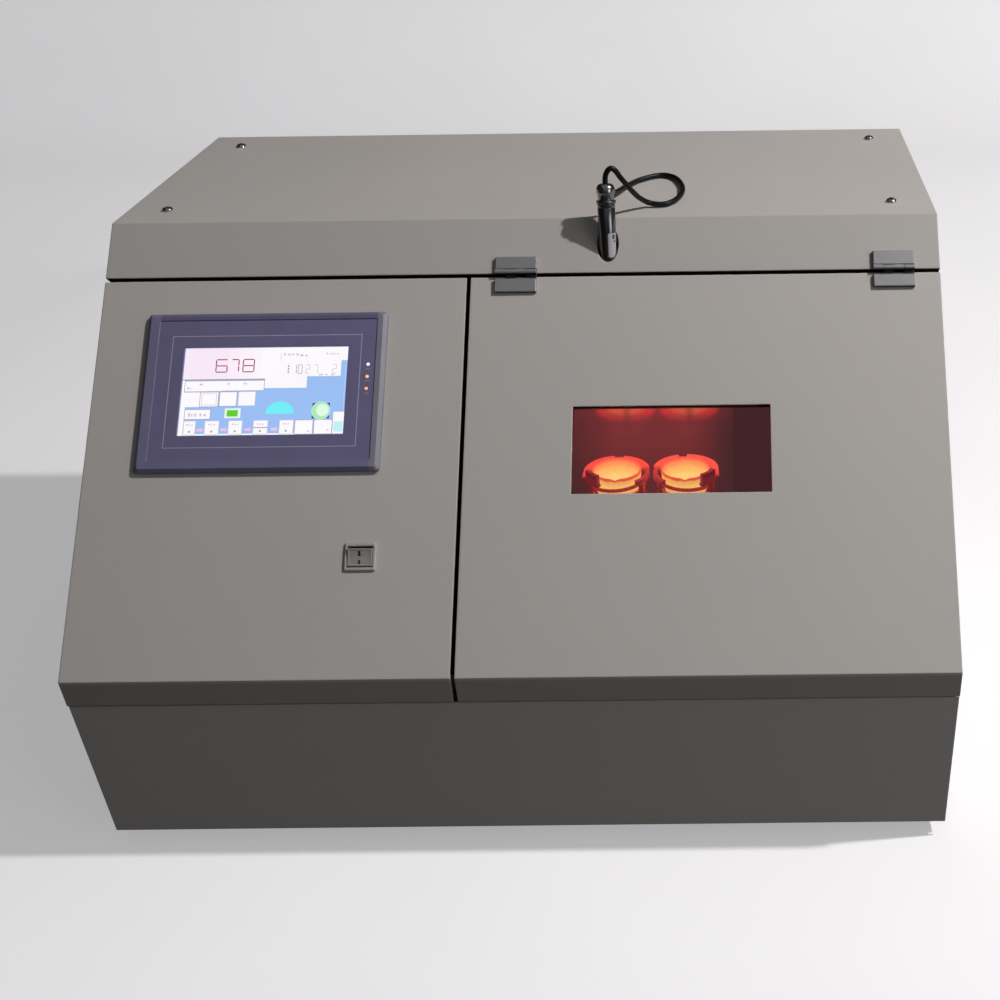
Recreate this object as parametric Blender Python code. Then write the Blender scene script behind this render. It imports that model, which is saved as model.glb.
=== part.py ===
"""Two-position induction fusion furnace for porcelain crucibles.

Bench machine: sheet-metal cabinet with a 45 degree front.  A fixed control
panel is at the left, a top-hinged furnace door with a window at the right.
Behind the door a rocking carriage holds two crucibles in induction coils.
A non-contact temperature sensor looks down through the top at one crucible.

Metres, +Z up, front faces -Y, origin at the bottom centre of the footprint.
Dimensions below are in millimetres.

Slope coordinates (u, v, n) lie on the 45 degree front: u runs along +X,
v up the slope from the pans' lower outer edge, n outwards, square to it.
"""
import bpy
import bmesh
import math
from mathutils import Vector

for old in list(bpy.data.objects):
    bpy.data.objects.remove(old, do_unlink=True)

MM = 0.001
COS45 = math.sqrt(0.5)
X_AXIS, Y_AXIS, Z_AXIS = (1, 0, 0), (0, 1, 0), (0, 0, 1)

# ------------------------------------------------------------ driving sizes
SHEET = 1.5               # sheet thickness
GAP = 0.3                 # clearance between neighbouring pieces
HALF_W = 400.0            # half cabinet width
INNER_HALF_W = HALF_W - SHEET - GAP
REAR_EDGE_Y = 302.0       # rear edge of the sides and the cover
REAR_Y = 276.0            # inner face of the recessed rear panel
FOOT_H = 18.0             # rubber feet
FLOOR_Z = FOOT_H + SHEET + GAP    # underside of what stands on the bottom plate
BASE_TOP = 176.0          # top of the vertical base front
BASE_FRONT_Y = -300.0

PAN_Y0, PAN_Z0 = -302.0, 206.0    # lower outer edge of the sloped pans
PAN_LEN = 379.0           # pan length up the slope
RETURN_DEPTH = 20.0       # pan and fascia returns, square to the slope
LIP_LOW = 178.5           # underside of the vertical bottom lip
FASCIA_V0, FASCIA_V1 = 383.0, 440.0
TOP_Z = PAN_Z0 + FASCIA_V1 * COS45
REAR_FLANGE = 14          # height of the cover's rear flange
SLOT_U = -51.3            # centre of the slot between the pans
SLOT_HALF = 2.0
FRAME_LIP_Y = BASE_FRONT_Y + SHEET + GAP
FRAME_FRONT_N = -RETURN_DEPTH - SHEET
FRAME_BACK_N = FRAME_FRONT_N - SHEET

# Rectangles on the slope: centre u, centre v, width, height
WINDOW = (142.8, 207.5, 184.0, 83.6)
SCREEN = (-237.4, 266.8, 154.08, 85.92)
HMI = (-238.8, 266.5, 226.4, 155.0)
HMI_RECESS = (-237.0, 268.1, 205.6, 137.0)
SWITCH = (-138.6, 109.6, 28.8, 26.0)
SWITCH_COLLAR = SWITCH[:2] + (26.0, 22.0)
ROCKER_N = -2.5           # rocker pivot below the panel face

HINGE_V, HINGE_N = 383.2, 3.2     # hinge pin axis
PIN_R = 1.2
KNUCKLE_R = 2.6
LEAF_T = 3.6
LEAF_BEVEL = 0.7

LINER_X0, LINER_X1 = 2.0, 288.0
LINER_BACK, LINER_LOW, LINER_TOP = 9.0, 186.0, 402.0
LINER_T = 1.5

STATION_X = (81.5, 151.5)         # crucible axes
STATION_Y = -69.0
RIM_Z = 279.5
SHAFT_Z = 222.0           # rocking axis when the carriage stands level
LEAN = math.radians(5.5)  # at rest the carriage leans back this much
LEVEL_PIVOT = (sum(STATION_X) / 2, STATION_Y, SHAFT_Z)
PLATE_Z = SHAFT_Z + 7.0   # carriage plate underside
PLATE_T = 4
HOLDER_Z = PLATE_Z + PLATE_T + GAP

SENSOR_TILT = math.radians(12)
SENSOR_AT = Vector((81.5, -10.1, 497.9))  # sensor axis where it meets the fascia
SENSOR_DIR = Vector((0.0, math.sin(SENSOR_TILT), math.cos(SENSOR_TILT)))
CABLE_ENTRY = (79.0, 51.5)        # x, y where the cable enters the cover
CABLE_R = 2.6

FAN_X, FAN_Z = -230.0, 120.0
FAN_AT = (FAN_X, REAR_Y, FAN_Z)
INLET_X, INLET_Z = -338, 112
INLET_HALF_W, INLET_HALF_H = 14.0, 11.6
WATER_TAILS = (("water_inlet", 250), ("water_outlet", 300))    # name, x
WATER_Z = 90


def corners(half_x, front_y, rear_y):
    """Name, x and y of the four corners of a rectangle."""
    return [(f"{depth}_{side}", sign * half_x, y)
            for side, sign in (("left", -1), ("right", 1))
            for depth, y in (("front", front_y), ("rear", rear_y))]


FEET = corners(350, -250, 255)
COVER_SCREWS = corners(360, 45, 262)


# ---------------------------------------------------------------- materials
def material(name, color, roughness, metallic=0.0, emission=None):
    mat = bpy.data.materials.new(name)
    mat.use_nodes = True
    inputs = mat.node_tree.nodes["Principled BSDF"].inputs
    inputs["Base Color"].default_value = (*color, 1.0)
    inputs["Roughness"].default_value = roughness
    inputs["Metallic"].default_value = metallic
    if emission:
        inputs["Emission Color"].default_value = (*emission, 1.0)
        inputs["Emission Strength"].default_value = 1.0
    mat.diffuse_color = (*color, 1.0)
    return mat


def metal(name, color, roughness):
    return material(name, color, roughness, metallic=1.0)


COAT = material("powder_coat", color=(0.52, 0.50, 0.47), roughness=0.45)
LINER = metal("liner_steel", color=(0.42, 0.38, 0.38), roughness=0.35)
POLISHED = metal("polished_steel", color=(0.70, 0.68, 0.66), roughness=0.12)
ZINC = metal("satin_zinc", color=(0.60, 0.60, 0.61), roughness=0.35)
CHROME = metal("screw_chrome", color=(0.75, 0.75, 0.76), roughness=0.15)
RUBBER = material("rubber", color=(0.03, 0.03, 0.03), roughness=0.85)
BEZEL = material("bezel_plastic", color=(0.09, 0.09, 0.13), roughness=0.45)
SCREEN_GLASS = material("screen_glass", color=(0.20, 0.35, 0.80), roughness=0.10,
                        emission=(0.20, 0.35, 0.80))
SWITCH_PLASTIC = material("switch_plastic", color=(0.62, 0.60, 0.55), roughness=0.40)
BLACK = material("black_plastic", color=(0.03, 0.03, 0.03), roughness=0.45)
GLASS = material("window_glass", color=(0.75, 0.80, 0.80), roughness=0.03)
STEEL = metal("brushed_steel", color=(0.55, 0.55, 0.56), roughness=0.30)
CABLE = material("cable_rubber", color=(0.015, 0.015, 0.015), roughness=0.50)
COPPER = metal("coil_copper", color=(0.72, 0.38, 0.22), roughness=0.30)
CERAMIC = material("holder_ceramic", color=(0.60, 0.28, 0.24), roughness=0.60,
                   emission=(0.5, 0.08, 0.05))
PORCELAIN = material("porcelain", color=(0.92, 0.88, 0.80), roughness=0.25,
                     emission=(1.0, 0.45, 0.10))
MODULE_GREY = material("module_grey", color=(0.35, 0.36, 0.37), roughness=0.50)
ALUMINIUM = metal("aluminium", color=(0.66, 0.67, 0.68), roughness=0.40)
BRASS = metal("brass", color=(0.72, 0.56, 0.28), roughness=0.30)


# --------------------------------------------------------- slope coordinates
def on_slope(u, v, n=0.0):
    """World point of slope coordinates."""
    return Vector((u, PAN_Y0 + v * COS45 - n * COS45, PAN_Z0 + v * COS45 + n * COS45))


def slope_yz(v, n):
    return tuple(on_slope(0, v, n).yz)


def slope_y_at_z(z, n):
    """Y where the plane at depth n reaches height z."""
    return z - (PAN_Z0 - PAN_Y0) - 2 * n * COS45


def slope_z_at_y(y, n):
    """Height of the plane at depth n above y."""
    return y + (PAN_Z0 - PAN_Y0) + 2 * n * COS45


def edge_rect(u0, u1, v0, v1):
    return [(u0, v0), (u1, v0), (u1, v1), (u0, v1)]


def rect_edges(area, margin):
    """Edges of a (centre, centre, width, height) area grown by a margin."""
    u, v, width, height = area
    return (u - width / 2 - margin, u + width / 2 + margin,
            v - height / 2 - margin, v + height / 2 + margin)


def centred_rect(area, margin=0.0):
    return edge_rect(*rect_edges(area, margin))


def rounded_rect(area, radius, steps, margin=0.0):
    u0, u1, v0, v1 = rect_edges(area, margin)
    points = []
    for centre_u, centre_v, start in ((u1 - radius, v0 + radius, -90),
                                      (u1 - radius, v1 - radius, 0),
                                      (u0 + radius, v1 - radius, 90),
                                      (u0 + radius, v0 + radius, 180)):
        for i in range(steps + 1):
            angle = math.radians(start + 90.0 * i / steps)
            points.append((centre_u + radius * math.cos(angle),
                           centre_v + radius * math.sin(angle)))
    return points


# ------------------------------------------- solids, in world millimetres
def loft(rings):
    """Skin equal-length closed rings of points, capping both ends."""
    bm = bmesh.new()
    rows = [[bm.verts.new(p) for p in ring] for ring in rings]
    count = len(rows[0])
    for low, high in zip(rows[:-1], rows[1:]):
        for i in range(count):
            j = (i + 1) % count
            bm.faces.new((low[i], low[j], high[j], high[i]))
    bm.faces.new(list(reversed(rows[0])))
    bm.faces.new(rows[-1])
    return bm


def box(x0, x1, y0, y1, z0, z1):
    outline = edge_rect(x0, x1, y0, y1)
    return loft([[Vector((x, y, z)) for x, y in outline] for z in (z0, z1)])


def prism_x(section, x0, x1):
    """Section of (y, z) points extruded along X."""
    return loft([[Vector((x, y, z)) for y, z in section] for x in (x0, x1)])


def slope_loft(*levels):
    """Loft through (outline, n) levels, outlines in (u, v)."""
    return loft([[on_slope(u, v, n) for u, v in outline] for outline, n in levels])


def slope_prism(outline, n0, n1):
    return slope_loft((outline, n0), (outline, n1))


def axis_frame(direction):
    """Two unit vectors square to a direction, and the unit direction."""
    axis = Vector(direction).normalized()
    guide = Vector(X_AXIS) if abs(axis.x) < 0.9 else Vector(Y_AXIS)
    side = (guide - axis * guide.dot(axis)).normalized()
    return side, axis.cross(side), axis


def spokes(direction, count):
    """Angles round a direction, each with its unit radial vector."""
    side, other, _ = axis_frame(direction)
    angles = [2 * math.pi * i / count for i in range(count)]
    return [(angle, side * math.cos(angle) + other * math.sin(angle)) for angle in angles]


def rod(base, direction, stations, segments):
    """Round solid on an axis: stations are (distance, radius)."""
    axis = axis_frame(direction)[2]
    base = Vector(base)
    return loft([[base + axis * distance + radial * radius
                  for _, radial in spokes(direction, segments)]
                 for distance, radius in stations])


def cylinder(base, direction, length, radius, segments):
    return rod(base, direction, [(0, radius), (length, radius)], segments)


def turned_ring(base, direction, section, segments):
    """Closed section (distance, radius) turned round an axis; no axis points."""
    axis = axis_frame(direction)[2]
    base = Vector(base)
    bm = bmesh.new()
    rows = [[bm.verts.new(base + axis * distance + radial * radius)
             for distance, radius in section]
            for _, radial in spokes(direction, segments)]
    count = len(section)
    for i in range(segments):
        row, following = rows[i], rows[(i + 1) % segments]
        for k in range(count):
            j = (k + 1) % count
            bm.faces.new((row[k], following[k], following[j], row[j]))
    return bm


def turned_cup(base, direction, section, segments, deform):
    """Turn a (distance, radius) section that starts and ends on the axis.

    deform(angle, distance) gives a radius factor and a shift along the axis.
    """
    axis = axis_frame(direction)[2]
    base = Vector(base)
    bm = bmesh.new()
    first = bm.verts.new(base + axis * section[0][0])
    last = bm.verts.new(base + axis * section[-1][0])
    rows = []
    for angle, radial in spokes(direction, segments):
        row = []
        for distance, radius in section[1:-1]:
            factor, shift = deform(angle, distance)
            row.append(bm.verts.new(base + axis * (distance + shift) + radial * radius * factor))
        rows.append(row)
    for i in range(segments):
        row, following = rows[i], rows[(i + 1) % segments]
        bm.faces.new((first, following[0], row[0]))
        bm.faces.new((last, row[-1], following[-1]))
        for k in range(len(row) - 1):
            bm.faces.new((row[k], following[k], following[k + 1], row[k + 1]))
    return bm


def swept_tube(path, radius, segments):
    """Round bar swept along a path with a frame carried from point to point."""
    points = [Vector(p) for p in path]
    rings = []
    side = None
    for i, point in enumerate(points):
        along = (points[min(i + 1, len(points) - 1)] - points[max(i - 1, 0)]).normalized()
        if side is None:
            side, other, _ = axis_frame(along)
        else:
            side = (side - along * side.dot(along)).normalized()
            other = along.cross(side)
        angles = [2 * math.pi * k / segments for k in range(segments)]
        rings.append([point + (side * math.cos(t) + other * math.sin(t)) * radius
                      for t in angles])
    return loft(rings)


def catmull_rom(points, steps):
    """Catmull-Rom curve through the points."""
    knots = [Vector(p) for p in points]
    knots = [knots[0] * 2 - knots[1]] + knots + [knots[-1] * 2 - knots[-2]]
    curve = []
    for i in range(1, len(knots) - 2):
        before, start, end, after = knots[i - 1:i + 3]
        for k in range(steps):
            t = k / steps
            curve.append(0.5 * ((2 * start) + (end - before) * t
                                + (2 * before - 5 * start + 4 * end - after) * t * t
                                + (3 * start - before - 3 * end + after) * t ** 3))
    curve.append(knots[-2])
    return curve


def merged(solids):
    """Several solids in one bmesh."""
    result = bmesh.new()
    for solid in solids:
        mesh = bpy.data.meshes.new("tmp")
        bmesh.ops.recalc_face_normals(solid, faces=solid.faces[:])
        solid.to_mesh(mesh)
        solid.free()
        result.from_mesh(mesh)
        bpy.data.meshes.remove(mesh)
    return result


def leaned(point):
    """A carriage point drawn level, turned back about the crucible rims' line."""
    dy, dz = point[1] - STATION_Y, point[2] - RIM_Z
    return Vector((point[0], STATION_Y + dy * math.cos(LEAN) + dz * math.sin(LEAN),
                   RIM_Z - dy * math.sin(LEAN) + dz * math.cos(LEAN)))


def lean(solid):
    for vert in solid.verts:
        vert.co = leaned(vert.co)
    return solid


# ------------------------------------------------------------ joint anchors
PIVOT = leaned(LEVEL_PIVOT)
AXIS_Y, AXIS_Z = PIVOT.yz
DOOR_HINGE = on_slope(0, HINGE_V, HINGE_N)
ROCKER_PIVOT = on_slope(*SWITCH[:2], ROCKER_N)


def anchor(name, at):
    ob = bpy.data.objects.new(name, None)
    ob.empty_display_size = 0.03
    ob.location = Vector(at) * MM
    bpy.context.scene.collection.objects.link(ob)
    return ob


CABINET = anchor("cabinet", (0, 0, 0))
DOOR_AXIS = anchor("door_axis", DOOR_HINGE)
ROCKER_AXIS = anchor("rocker_axis", ROCKER_PIVOT)
FAN_AXIS = anchor("fan_axis", FAN_AT)
CARRIAGE_AXIS = anchor("carriage_axis", PIVOT)
CRUCIBLE_AXES = {side: anchor("crucible_axis_" + side, (x, STATION_Y, RIM_Z))
                 for side, x in zip(("left", "right"), STATION_X)}


# ---------------------------------------------------------- placing pieces
def mesh_object(name, solid, origin=(0, 0, 0)):
    """Turn a solid into an object with its origin at the given point."""
    origin = Vector(origin)
    for vert in solid.verts:
        vert.co = (vert.co - origin) * MM
    bmesh.ops.recalc_face_normals(solid, faces=solid.faces[:])
    mesh = bpy.data.meshes.new(name)
    solid.to_mesh(mesh)
    solid.free()
    ob = bpy.data.objects.new(name, mesh)
    bpy.context.scene.collection.objects.link(ob)
    ob.location = origin * MM
    return ob


def piece(name, solid, mat, origin=(0, 0, 0), parent=CABINET, smooth=False):
    ob = mesh_object(name, solid, origin)
    ob.parent = parent
    ob.location = Vector(origin) * MM - parent.location
    ob.data.materials.append(mat)
    for polygon in ob.data.polygons:
        polygon.use_smooth = smooth
    return ob


def carriage_piece(name, solid, mat, origin, parent=CARRIAGE_AXIS, smooth=False):
    """A piece drawn on the level carriage and leaned back with it."""
    return piece(name, lean(solid), mat, leaned(origin), parent, smooth)


def add_boolean(ob, solid, operation, label):
    number = len(ob.modifiers) + 1
    helper = mesh_object(f"cutter_{ob.name}_{number}", solid)
    helper.hide_render = True
    helper.display_type = 'WIRE'
    modifier = ob.modifiers.new(f"{label}_{number}", 'BOOLEAN')
    modifier.operation = operation
    modifier.solver = 'EXACT'
    modifier.object = helper


def cut(ob, *solids):
    """Cut all the solids with one modifier."""
    add_boolean(ob, merged(solids), 'DIFFERENCE', "cut")


def join(ob, *solids):
    """Join each solid with a modifier of its own."""
    for solid in solids:
        add_boolean(ob, solid, 'UNION', "add")


# ------------------------------------------------------------------ cabinet
def sheet_pan(name, x0, x1, parent=CABINET, origin=(0, 0, 0)):
    """Sloped sheet pan: outer skin, top and side returns, vertical bottom lip."""
    inner_y = PAN_Y0 + SHEET
    outer = [(PAN_Y0, PAN_Z0), slope_yz(PAN_LEN, 0), slope_yz(PAN_LEN, -RETURN_DEPTH),
             (inner_y, LIP_LOW + 1.2), (inner_y, LIP_LOW), (PAN_Y0, LIP_LOW)]
    ob = piece(name, prism_x(outer, x0, x1), COAT, origin, parent)
    bend_drop = SHEET * (math.sqrt(2) - 1)    # inner bend edge below the outer one
    pocket = [(inner_y, PAN_Z0 - bend_drop), slope_yz(PAN_LEN - SHEET, -SHEET),
              slope_yz(PAN_LEN - SHEET, -RETURN_DEPTH - 30),
              (inner_y + 12, LIP_LOW - 40), (inner_y, LIP_LOW - 40)]
    cut(ob, prism_x(pocket, x0 + SHEET, x1 - SHEET))
    return ob


def base_front_panel():
    """Vertical plate with a flange turned back along the bottom."""
    ob = piece("base_front_panel",
               box(-HALF_W, HALF_W, BASE_FRONT_Y, BASE_FRONT_Y + SHEET, FOOT_H, BASE_TOP), COAT)
    join(ob, box(-396, 396, BASE_FRONT_Y + 1.0, BASE_FRONT_Y + 14, FOOT_H, FOOT_H + SHEET))


def bottom_plate():
    ob = piece("bottom_plate",
               box(-INNER_HALF_W, INNER_HALF_W, -285.5, 301.5, FOOT_H, FOOT_H + SHEET), COAT)
    slot_w, pitch = 8, 22
    starts = [-330 + pitch * i for i in range(5)]
    cut(ob, *[box(x, x + slot_w, -120, -40, FOOT_H - 2, FOOT_H + 4) for x in starts])


def side_panel(name, sign):
    front_y = FRAME_LIP_Y + SHEET + GAP
    depth = FRAME_BACK_N - GAP
    fascia_depth = -SHEET - GAP
    step_v = FASCIA_V0 + 4.0
    top = TOP_Z - SHEET - GAP
    outline = [(front_y, FOOT_H), (front_y, slope_z_at_y(front_y, depth)),
               slope_yz(step_v, depth), slope_yz(step_v, fascia_depth),
               (slope_y_at_z(top, fascia_depth), top), (REAR_EDGE_Y, top), (REAR_EDGE_Y, FOOT_H)]
    x0, x1 = sorted((sign * HALF_W, sign * (HALF_W - SHEET)))
    ob = piece(name, prism_x(outline, x0, x1), COAT)
    # five upright vent slots, 5 wide and 80 high
    cut(ob, *[prism_x(rounded_rect((92.5 + 16 * i, 130, 5, 80), 2.4, 1), x0 - 3, x1 + 3)
              for i in range(5)])
    # room for the cover's rear flange and for its fascia return
    x0, x1 = sorted((sign * (HALF_W + 3), sign * (HALF_W - 4)))
    cut(ob, box(x0, x1, REAR_EDGE_Y - SHEET - GAP, REAR_EDGE_Y + 5,
                TOP_Z - REAR_FLANGE - GAP, TOP_Z + 5))
    low_v, high_v = FASCIA_V0 - 8, FASCIA_V0 + SHEET + GAP + 2.6
    return_n = -RETURN_DEPTH - GAP
    cut(ob, prism_x([slope_yz(low_v, return_n - 14), slope_yz(low_v, 5),
                     slope_yz(high_v, 5), slope_yz(high_v, return_n - 3)], x0, x1))


def rear_panel():
    ob = piece("rear_panel", box(-INNER_HALF_W, INNER_HALF_W, REAR_Y, REAR_Y + SHEET,
                                 FLOOR_Z, TOP_Z - SHEET - GAP), COAT)
    cut(ob,
        cylinder((FAN_X, REAR_Y - 5, FAN_Z), Y_AXIS, 12, 54, 20),
        inlet_box(INLET_HALF_W + 0.4, INLET_HALF_H + 0.4, -5, 5),
        *[cylinder((x, REAR_Y - 5, WATER_Z), Y_AXIS, 12, 8.4, 16) for _, x in WATER_TAILS])


def top_cover():
    """One bent sheet: fascia return, fascia, top and rear flange."""
    bend = SHEET * math.tan(math.radians(22.5))
    inner_v = FASCIA_V0 + SHEET
    section = [slope_yz(FASCIA_V0, -RETURN_DEPTH), slope_yz(FASCIA_V0, 0),
               slope_yz(FASCIA_V1, 0), (REAR_EDGE_Y, TOP_Z),
               (REAR_EDGE_Y, TOP_Z - REAR_FLANGE), (REAR_EDGE_Y - SHEET, TOP_Z - REAR_FLANGE),
               (REAR_EDGE_Y - SHEET, TOP_Z - SHEET),
               (slope_yz(FASCIA_V1 - bend, -SHEET)[0], TOP_Z - SHEET),
               slope_yz(inner_v, -SHEET), slope_yz(inner_v, -RETURN_DEPTH)]
    ob = piece("top_cover", prism_x(section, -HALF_W, HALF_W), COAT)
    cut(ob,
        cylinder(SENSOR_AT - SENSOR_DIR * 40, SENSOR_DIR, 80, 10.4, 24),
        *[cylinder((x, y, TOP_Z - 8), Z_AXIS, 14, 2.5, 10) for _, x, y in COVER_SCREWS],
        cylinder((*CABLE_ENTRY, TOP_Z - 8), Z_AXIS, 14, 5.0, 16))


def front_frame():
    """Sheet behind the pans with a vertical lip at its lower edge."""
    lip_back = FRAME_LIP_Y + SHEET
    top_v = FASCIA_V0 - 4
    section = [(FRAME_LIP_Y, 150), (FRAME_LIP_Y, slope_z_at_y(FRAME_LIP_Y, FRAME_FRONT_N)),
               slope_yz(top_v, FRAME_FRONT_N), slope_yz(top_v, FRAME_BACK_N),
               (lip_back, slope_z_at_y(lip_back, FRAME_BACK_N)), (lip_back, 150)]
    ob = piece("front_frame", prism_x(section, -INNER_HALF_W, INNER_HALF_W), COAT)
    cut(ob,
        slope_prism(edge_rect(-378, -75, 20, 358), -40, -10),
        slope_prism(edge_rect(0, 290, 20, 276), -40, -10))
    # notch that lets the temperature sensor through the upper edge
    cut(ob, slope_prism(edge_rect(SENSOR_AT.x - 12, SENSOR_AT.x + 12, 345, 400), -40, -10))


def partition_wall():
    front_y, step_y, top = -282, -10, 440
    depth = FRAME_BACK_N - GAP - 0.2
    outline = [(front_y, FLOOR_Z), (front_y, slope_z_at_y(front_y, depth)),
               (step_y, slope_z_at_y(step_y, depth)), (step_y, top),
               (REAR_Y - GAP, top), (REAR_Y - GAP, FLOOR_Z)]
    piece("partition_wall", prism_x(outline, -56.0, -54.5), COAT)


def feet():
    for corner, x, y in FEET:
        stations = [(0, 17.0), (2, 18.5), (FOOT_H - GAP, 20.0)]
        piece("foot_" + corner, rod((x, y, 0), Z_AXIS, stations, 16), RUBBER, (x, y, 0),
              smooth=True)


def cover_screws():
    shank = 8
    stations = [(0, 1.9), (shank + GAP, 1.9), (shank + GAP, 5.0),
                (8.9, 5.2), (10.6, 4.2), (11.7, 1.6)]
    for corner, x, y in COVER_SCREWS:
        piece("cover_screw_" + corner, rod((x, y, TOP_Z - shank), Z_AXIS, stations, 10),
              CHROME, (x, y, TOP_Z), smooth=True)


# ---------------------------------------------------------- furnace chamber
def chamber_liner():
    """Box open towards the sloped front."""
    depth = FRAME_BACK_N - GAP
    section = [(slope_y_at_z(LINER_LOW, depth), LINER_LOW),
               (slope_y_at_z(LINER_TOP, depth), LINER_TOP),
               (LINER_BACK, LINER_TOP), (LINER_BACK, LINER_LOW)]
    ob = piece("chamber_liner", prism_x(section, LINER_X0, LINER_X1), LINER)
    low, top, back = LINER_LOW + LINER_T, LINER_TOP - LINER_T, LINER_BACK - LINER_T
    pocket = [(slope_y_at_z(low, depth) - 30, low), (slope_y_at_z(top, depth) - 30, top),
              (back, top), (back, low)]
    cut(ob, prism_x(pocket, LINER_X0 + LINER_T, LINER_X1 - LINER_T))
    sight = SENSOR_AT + SENSOR_DIR * ((LINER_TOP - SENSOR_AT.z) / SENSOR_DIR.z)
    cut(ob,
        cylinder(sight - SENSOR_DIR * 12, SENSOR_DIR, 24, 9, 20),
        cylinder((LINER_X1 - 8, AXIS_Y, AXIS_Z), X_AXIS, 16, 6.4, 20),
        cylinder((215, -30, LINER_LOW - 8), Z_AXIS, 16, 8.0, 16))


def reflector_plate():
    piece("reflector_plate", box(5.0, 200.0, 1.0, 2.5, 190.0, 392.0), POLISHED)


# -------------------------------------------------- furnace door and window
def furnace_door():
    ob = sheet_pan("furnace_door", SLOT_U + SLOT_HALF, HALF_W, DOOR_AXIS, DOOR_HINGE)
    cut(ob, slope_prism(centred_rect(WINDOW), -30, 10))


def door_window():
    """Glass pane held in a rebated frame behind the door skin."""
    glass_margin, face_n = 8, -1.8
    origin = on_slope(*WINDOW[:2], face_n)
    piece("window_glass", slope_prism(centred_rect(WINDOW, glass_margin), -5.8, face_n),
          GLASS, origin, DOOR_AXIS)
    frame = piece("window_frame", slope_prism(centred_rect(WINDOW, 16), -10.0, face_n),
                  STEEL, origin, DOOR_AXIS)
    cut(frame, slope_prism(centred_rect(WINDOW, glass_margin + 0.4), -6.2, 5))
    cut(frame, slope_prism(centred_rect(WINDOW), -20, 5))


# ------------------------------------------------------------------- hinges
def hinge_leaf(name, u_range, v_range, knuckles, arm_v, arm_n, parent):
    """Bevelled leaf with two of the four knuckles and the arms that carry them."""
    u0, u1 = u_range
    v0, v1 = v_range
    step = (u1 - u0) / 4.0
    plan = edge_rect(u0, u1, v0, v1)
    face = edge_rect(u0 + LEAF_BEVEL, u1 - LEAF_BEVEL, v0 + LEAF_BEVEL, v1 - LEAF_BEVEL)
    ob = piece(name, slope_loft((plan, GAP), (plan, LEAF_T - LEAF_BEVEL), (face, LEAF_T)),
               ZINC, on_slope((u0 + u1) / 2, HINGE_V, HINGE_N), parent)
    for i in knuckles:
        start = u0 + step * i + GAP / 2
        end = u0 + step * (i + 1) - GAP / 2
        join(ob,
             cylinder(on_slope(start, HINGE_V, HINGE_N), X_AXIS, step - GAP, KNUCKLE_R, 12),
             slope_prism(edge_rect(start, end, *arm_v), *arm_n))
    cut(ob, cylinder(on_slope(u0 - 5, HINGE_V, HINGE_N), X_AXIS, u1 - u0 + 10, PIN_R + GAP, 10))


def hinge(side, u0, u1, fixed_top, door_low):
    """Cast butt hinge, 4 knuckles: the fixed leaf carries 2, the door leaf 2."""
    knuckle_top = HINGE_V + KNUCKLE_R
    hinge_leaf(f"hinge_leaf_{side}_fixed", (u0, u1), (knuckle_top + 0.5, fixed_top), (0, 2),
               arm_v=(HINGE_V, knuckle_top + 2.0), arm_n=(0.9, 3.1), parent=CABINET)
    hinge_leaf(f"hinge_leaf_{side}_door", (u0, u1), (door_low, 376.6), (1, 3),
               arm_v=(375.0, HINGE_V), arm_n=(0.45, 1.6), parent=DOOR_AXIS)
    pin = cylinder(on_slope(u0 + 0.2, HINGE_V, HINGE_N), X_AXIS, u1 - u0 - 0.4, PIN_R, 10)
    piece("hinge_pin_" + side, pin, ZINC, on_slope((u0 + u1) / 2, HINGE_V, HINGE_N),
          smooth=True)


# ------------------------------------------------------------ control panel
def control_panel():
    ob = sheet_pan("control_panel", -HALF_W, SLOT_U - SLOT_HALF)
    cut(ob,
        slope_prism(centred_rect(HMI, -8), -12, 10),
        slope_prism(centred_rect(SWITCH_COLLAR, 0.4), -12, 10))


def hmi_bezel():
    """Chamfered frame standing 6.3 proud, with an opening for the display."""
    outer = rounded_rect(HMI, 2.5, 2)
    face = rounded_rect(HMI, 2.5, 2, margin=-3.5)
    ob = piece("hmi_bezel", slope_loft((outer, GAP), (outer, 3.4), (face, 6.3)),
               BEZEL, on_slope(*HMI[:2]))
    join(ob, slope_prism(centred_rect(HMI, -9), -4.0, 1.5))
    cut(ob, slope_prism(centred_rect(HMI_RECESS), 5.7, 12))
    cut(ob, slope_prism(centred_rect(SCREEN), -30, 20))
    cut(ob, slope_prism(centred_rect(SCREEN, 6), -30, 3.6))


def hmi_screen():
    piece("hmi_screen", slope_prism(centred_rect(SCREEN, 5.6), -3.6, 3.3),
          SCREEN_GLASS, on_slope(*SCREEN[:2], 3.3))


def hmi_rear_case():
    ob = piece("hmi_rear_case", slope_prism(centred_rect(HMI, -11), -40.0, -4.3),
               BLACK, on_slope(*HMI[:2], -4))
    cut(ob, slope_prism(centred_rect(HMI, -14), -37.0, 2))


def switch_bezel():
    """Bezel with a hollow collar through the panel."""
    outer = rounded_rect(SWITCH, 1.5, 2)
    face = rounded_rect(SWITCH, 1.2, 2, margin=-0.9)
    ob = piece("switch_bezel", slope_loft((outer, GAP), (outer, 1.6), (face, 2.4)),
               SWITCH_PLASTIC, on_slope(*SWITCH[:2]))
    join(ob, slope_prism(centred_rect(SWITCH_COLLAR), -16.0, 1.0))
    cut(ob, slope_prism(centred_rect(SWITCH_COLLAR, -1.2), -14.5, 20))


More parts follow.
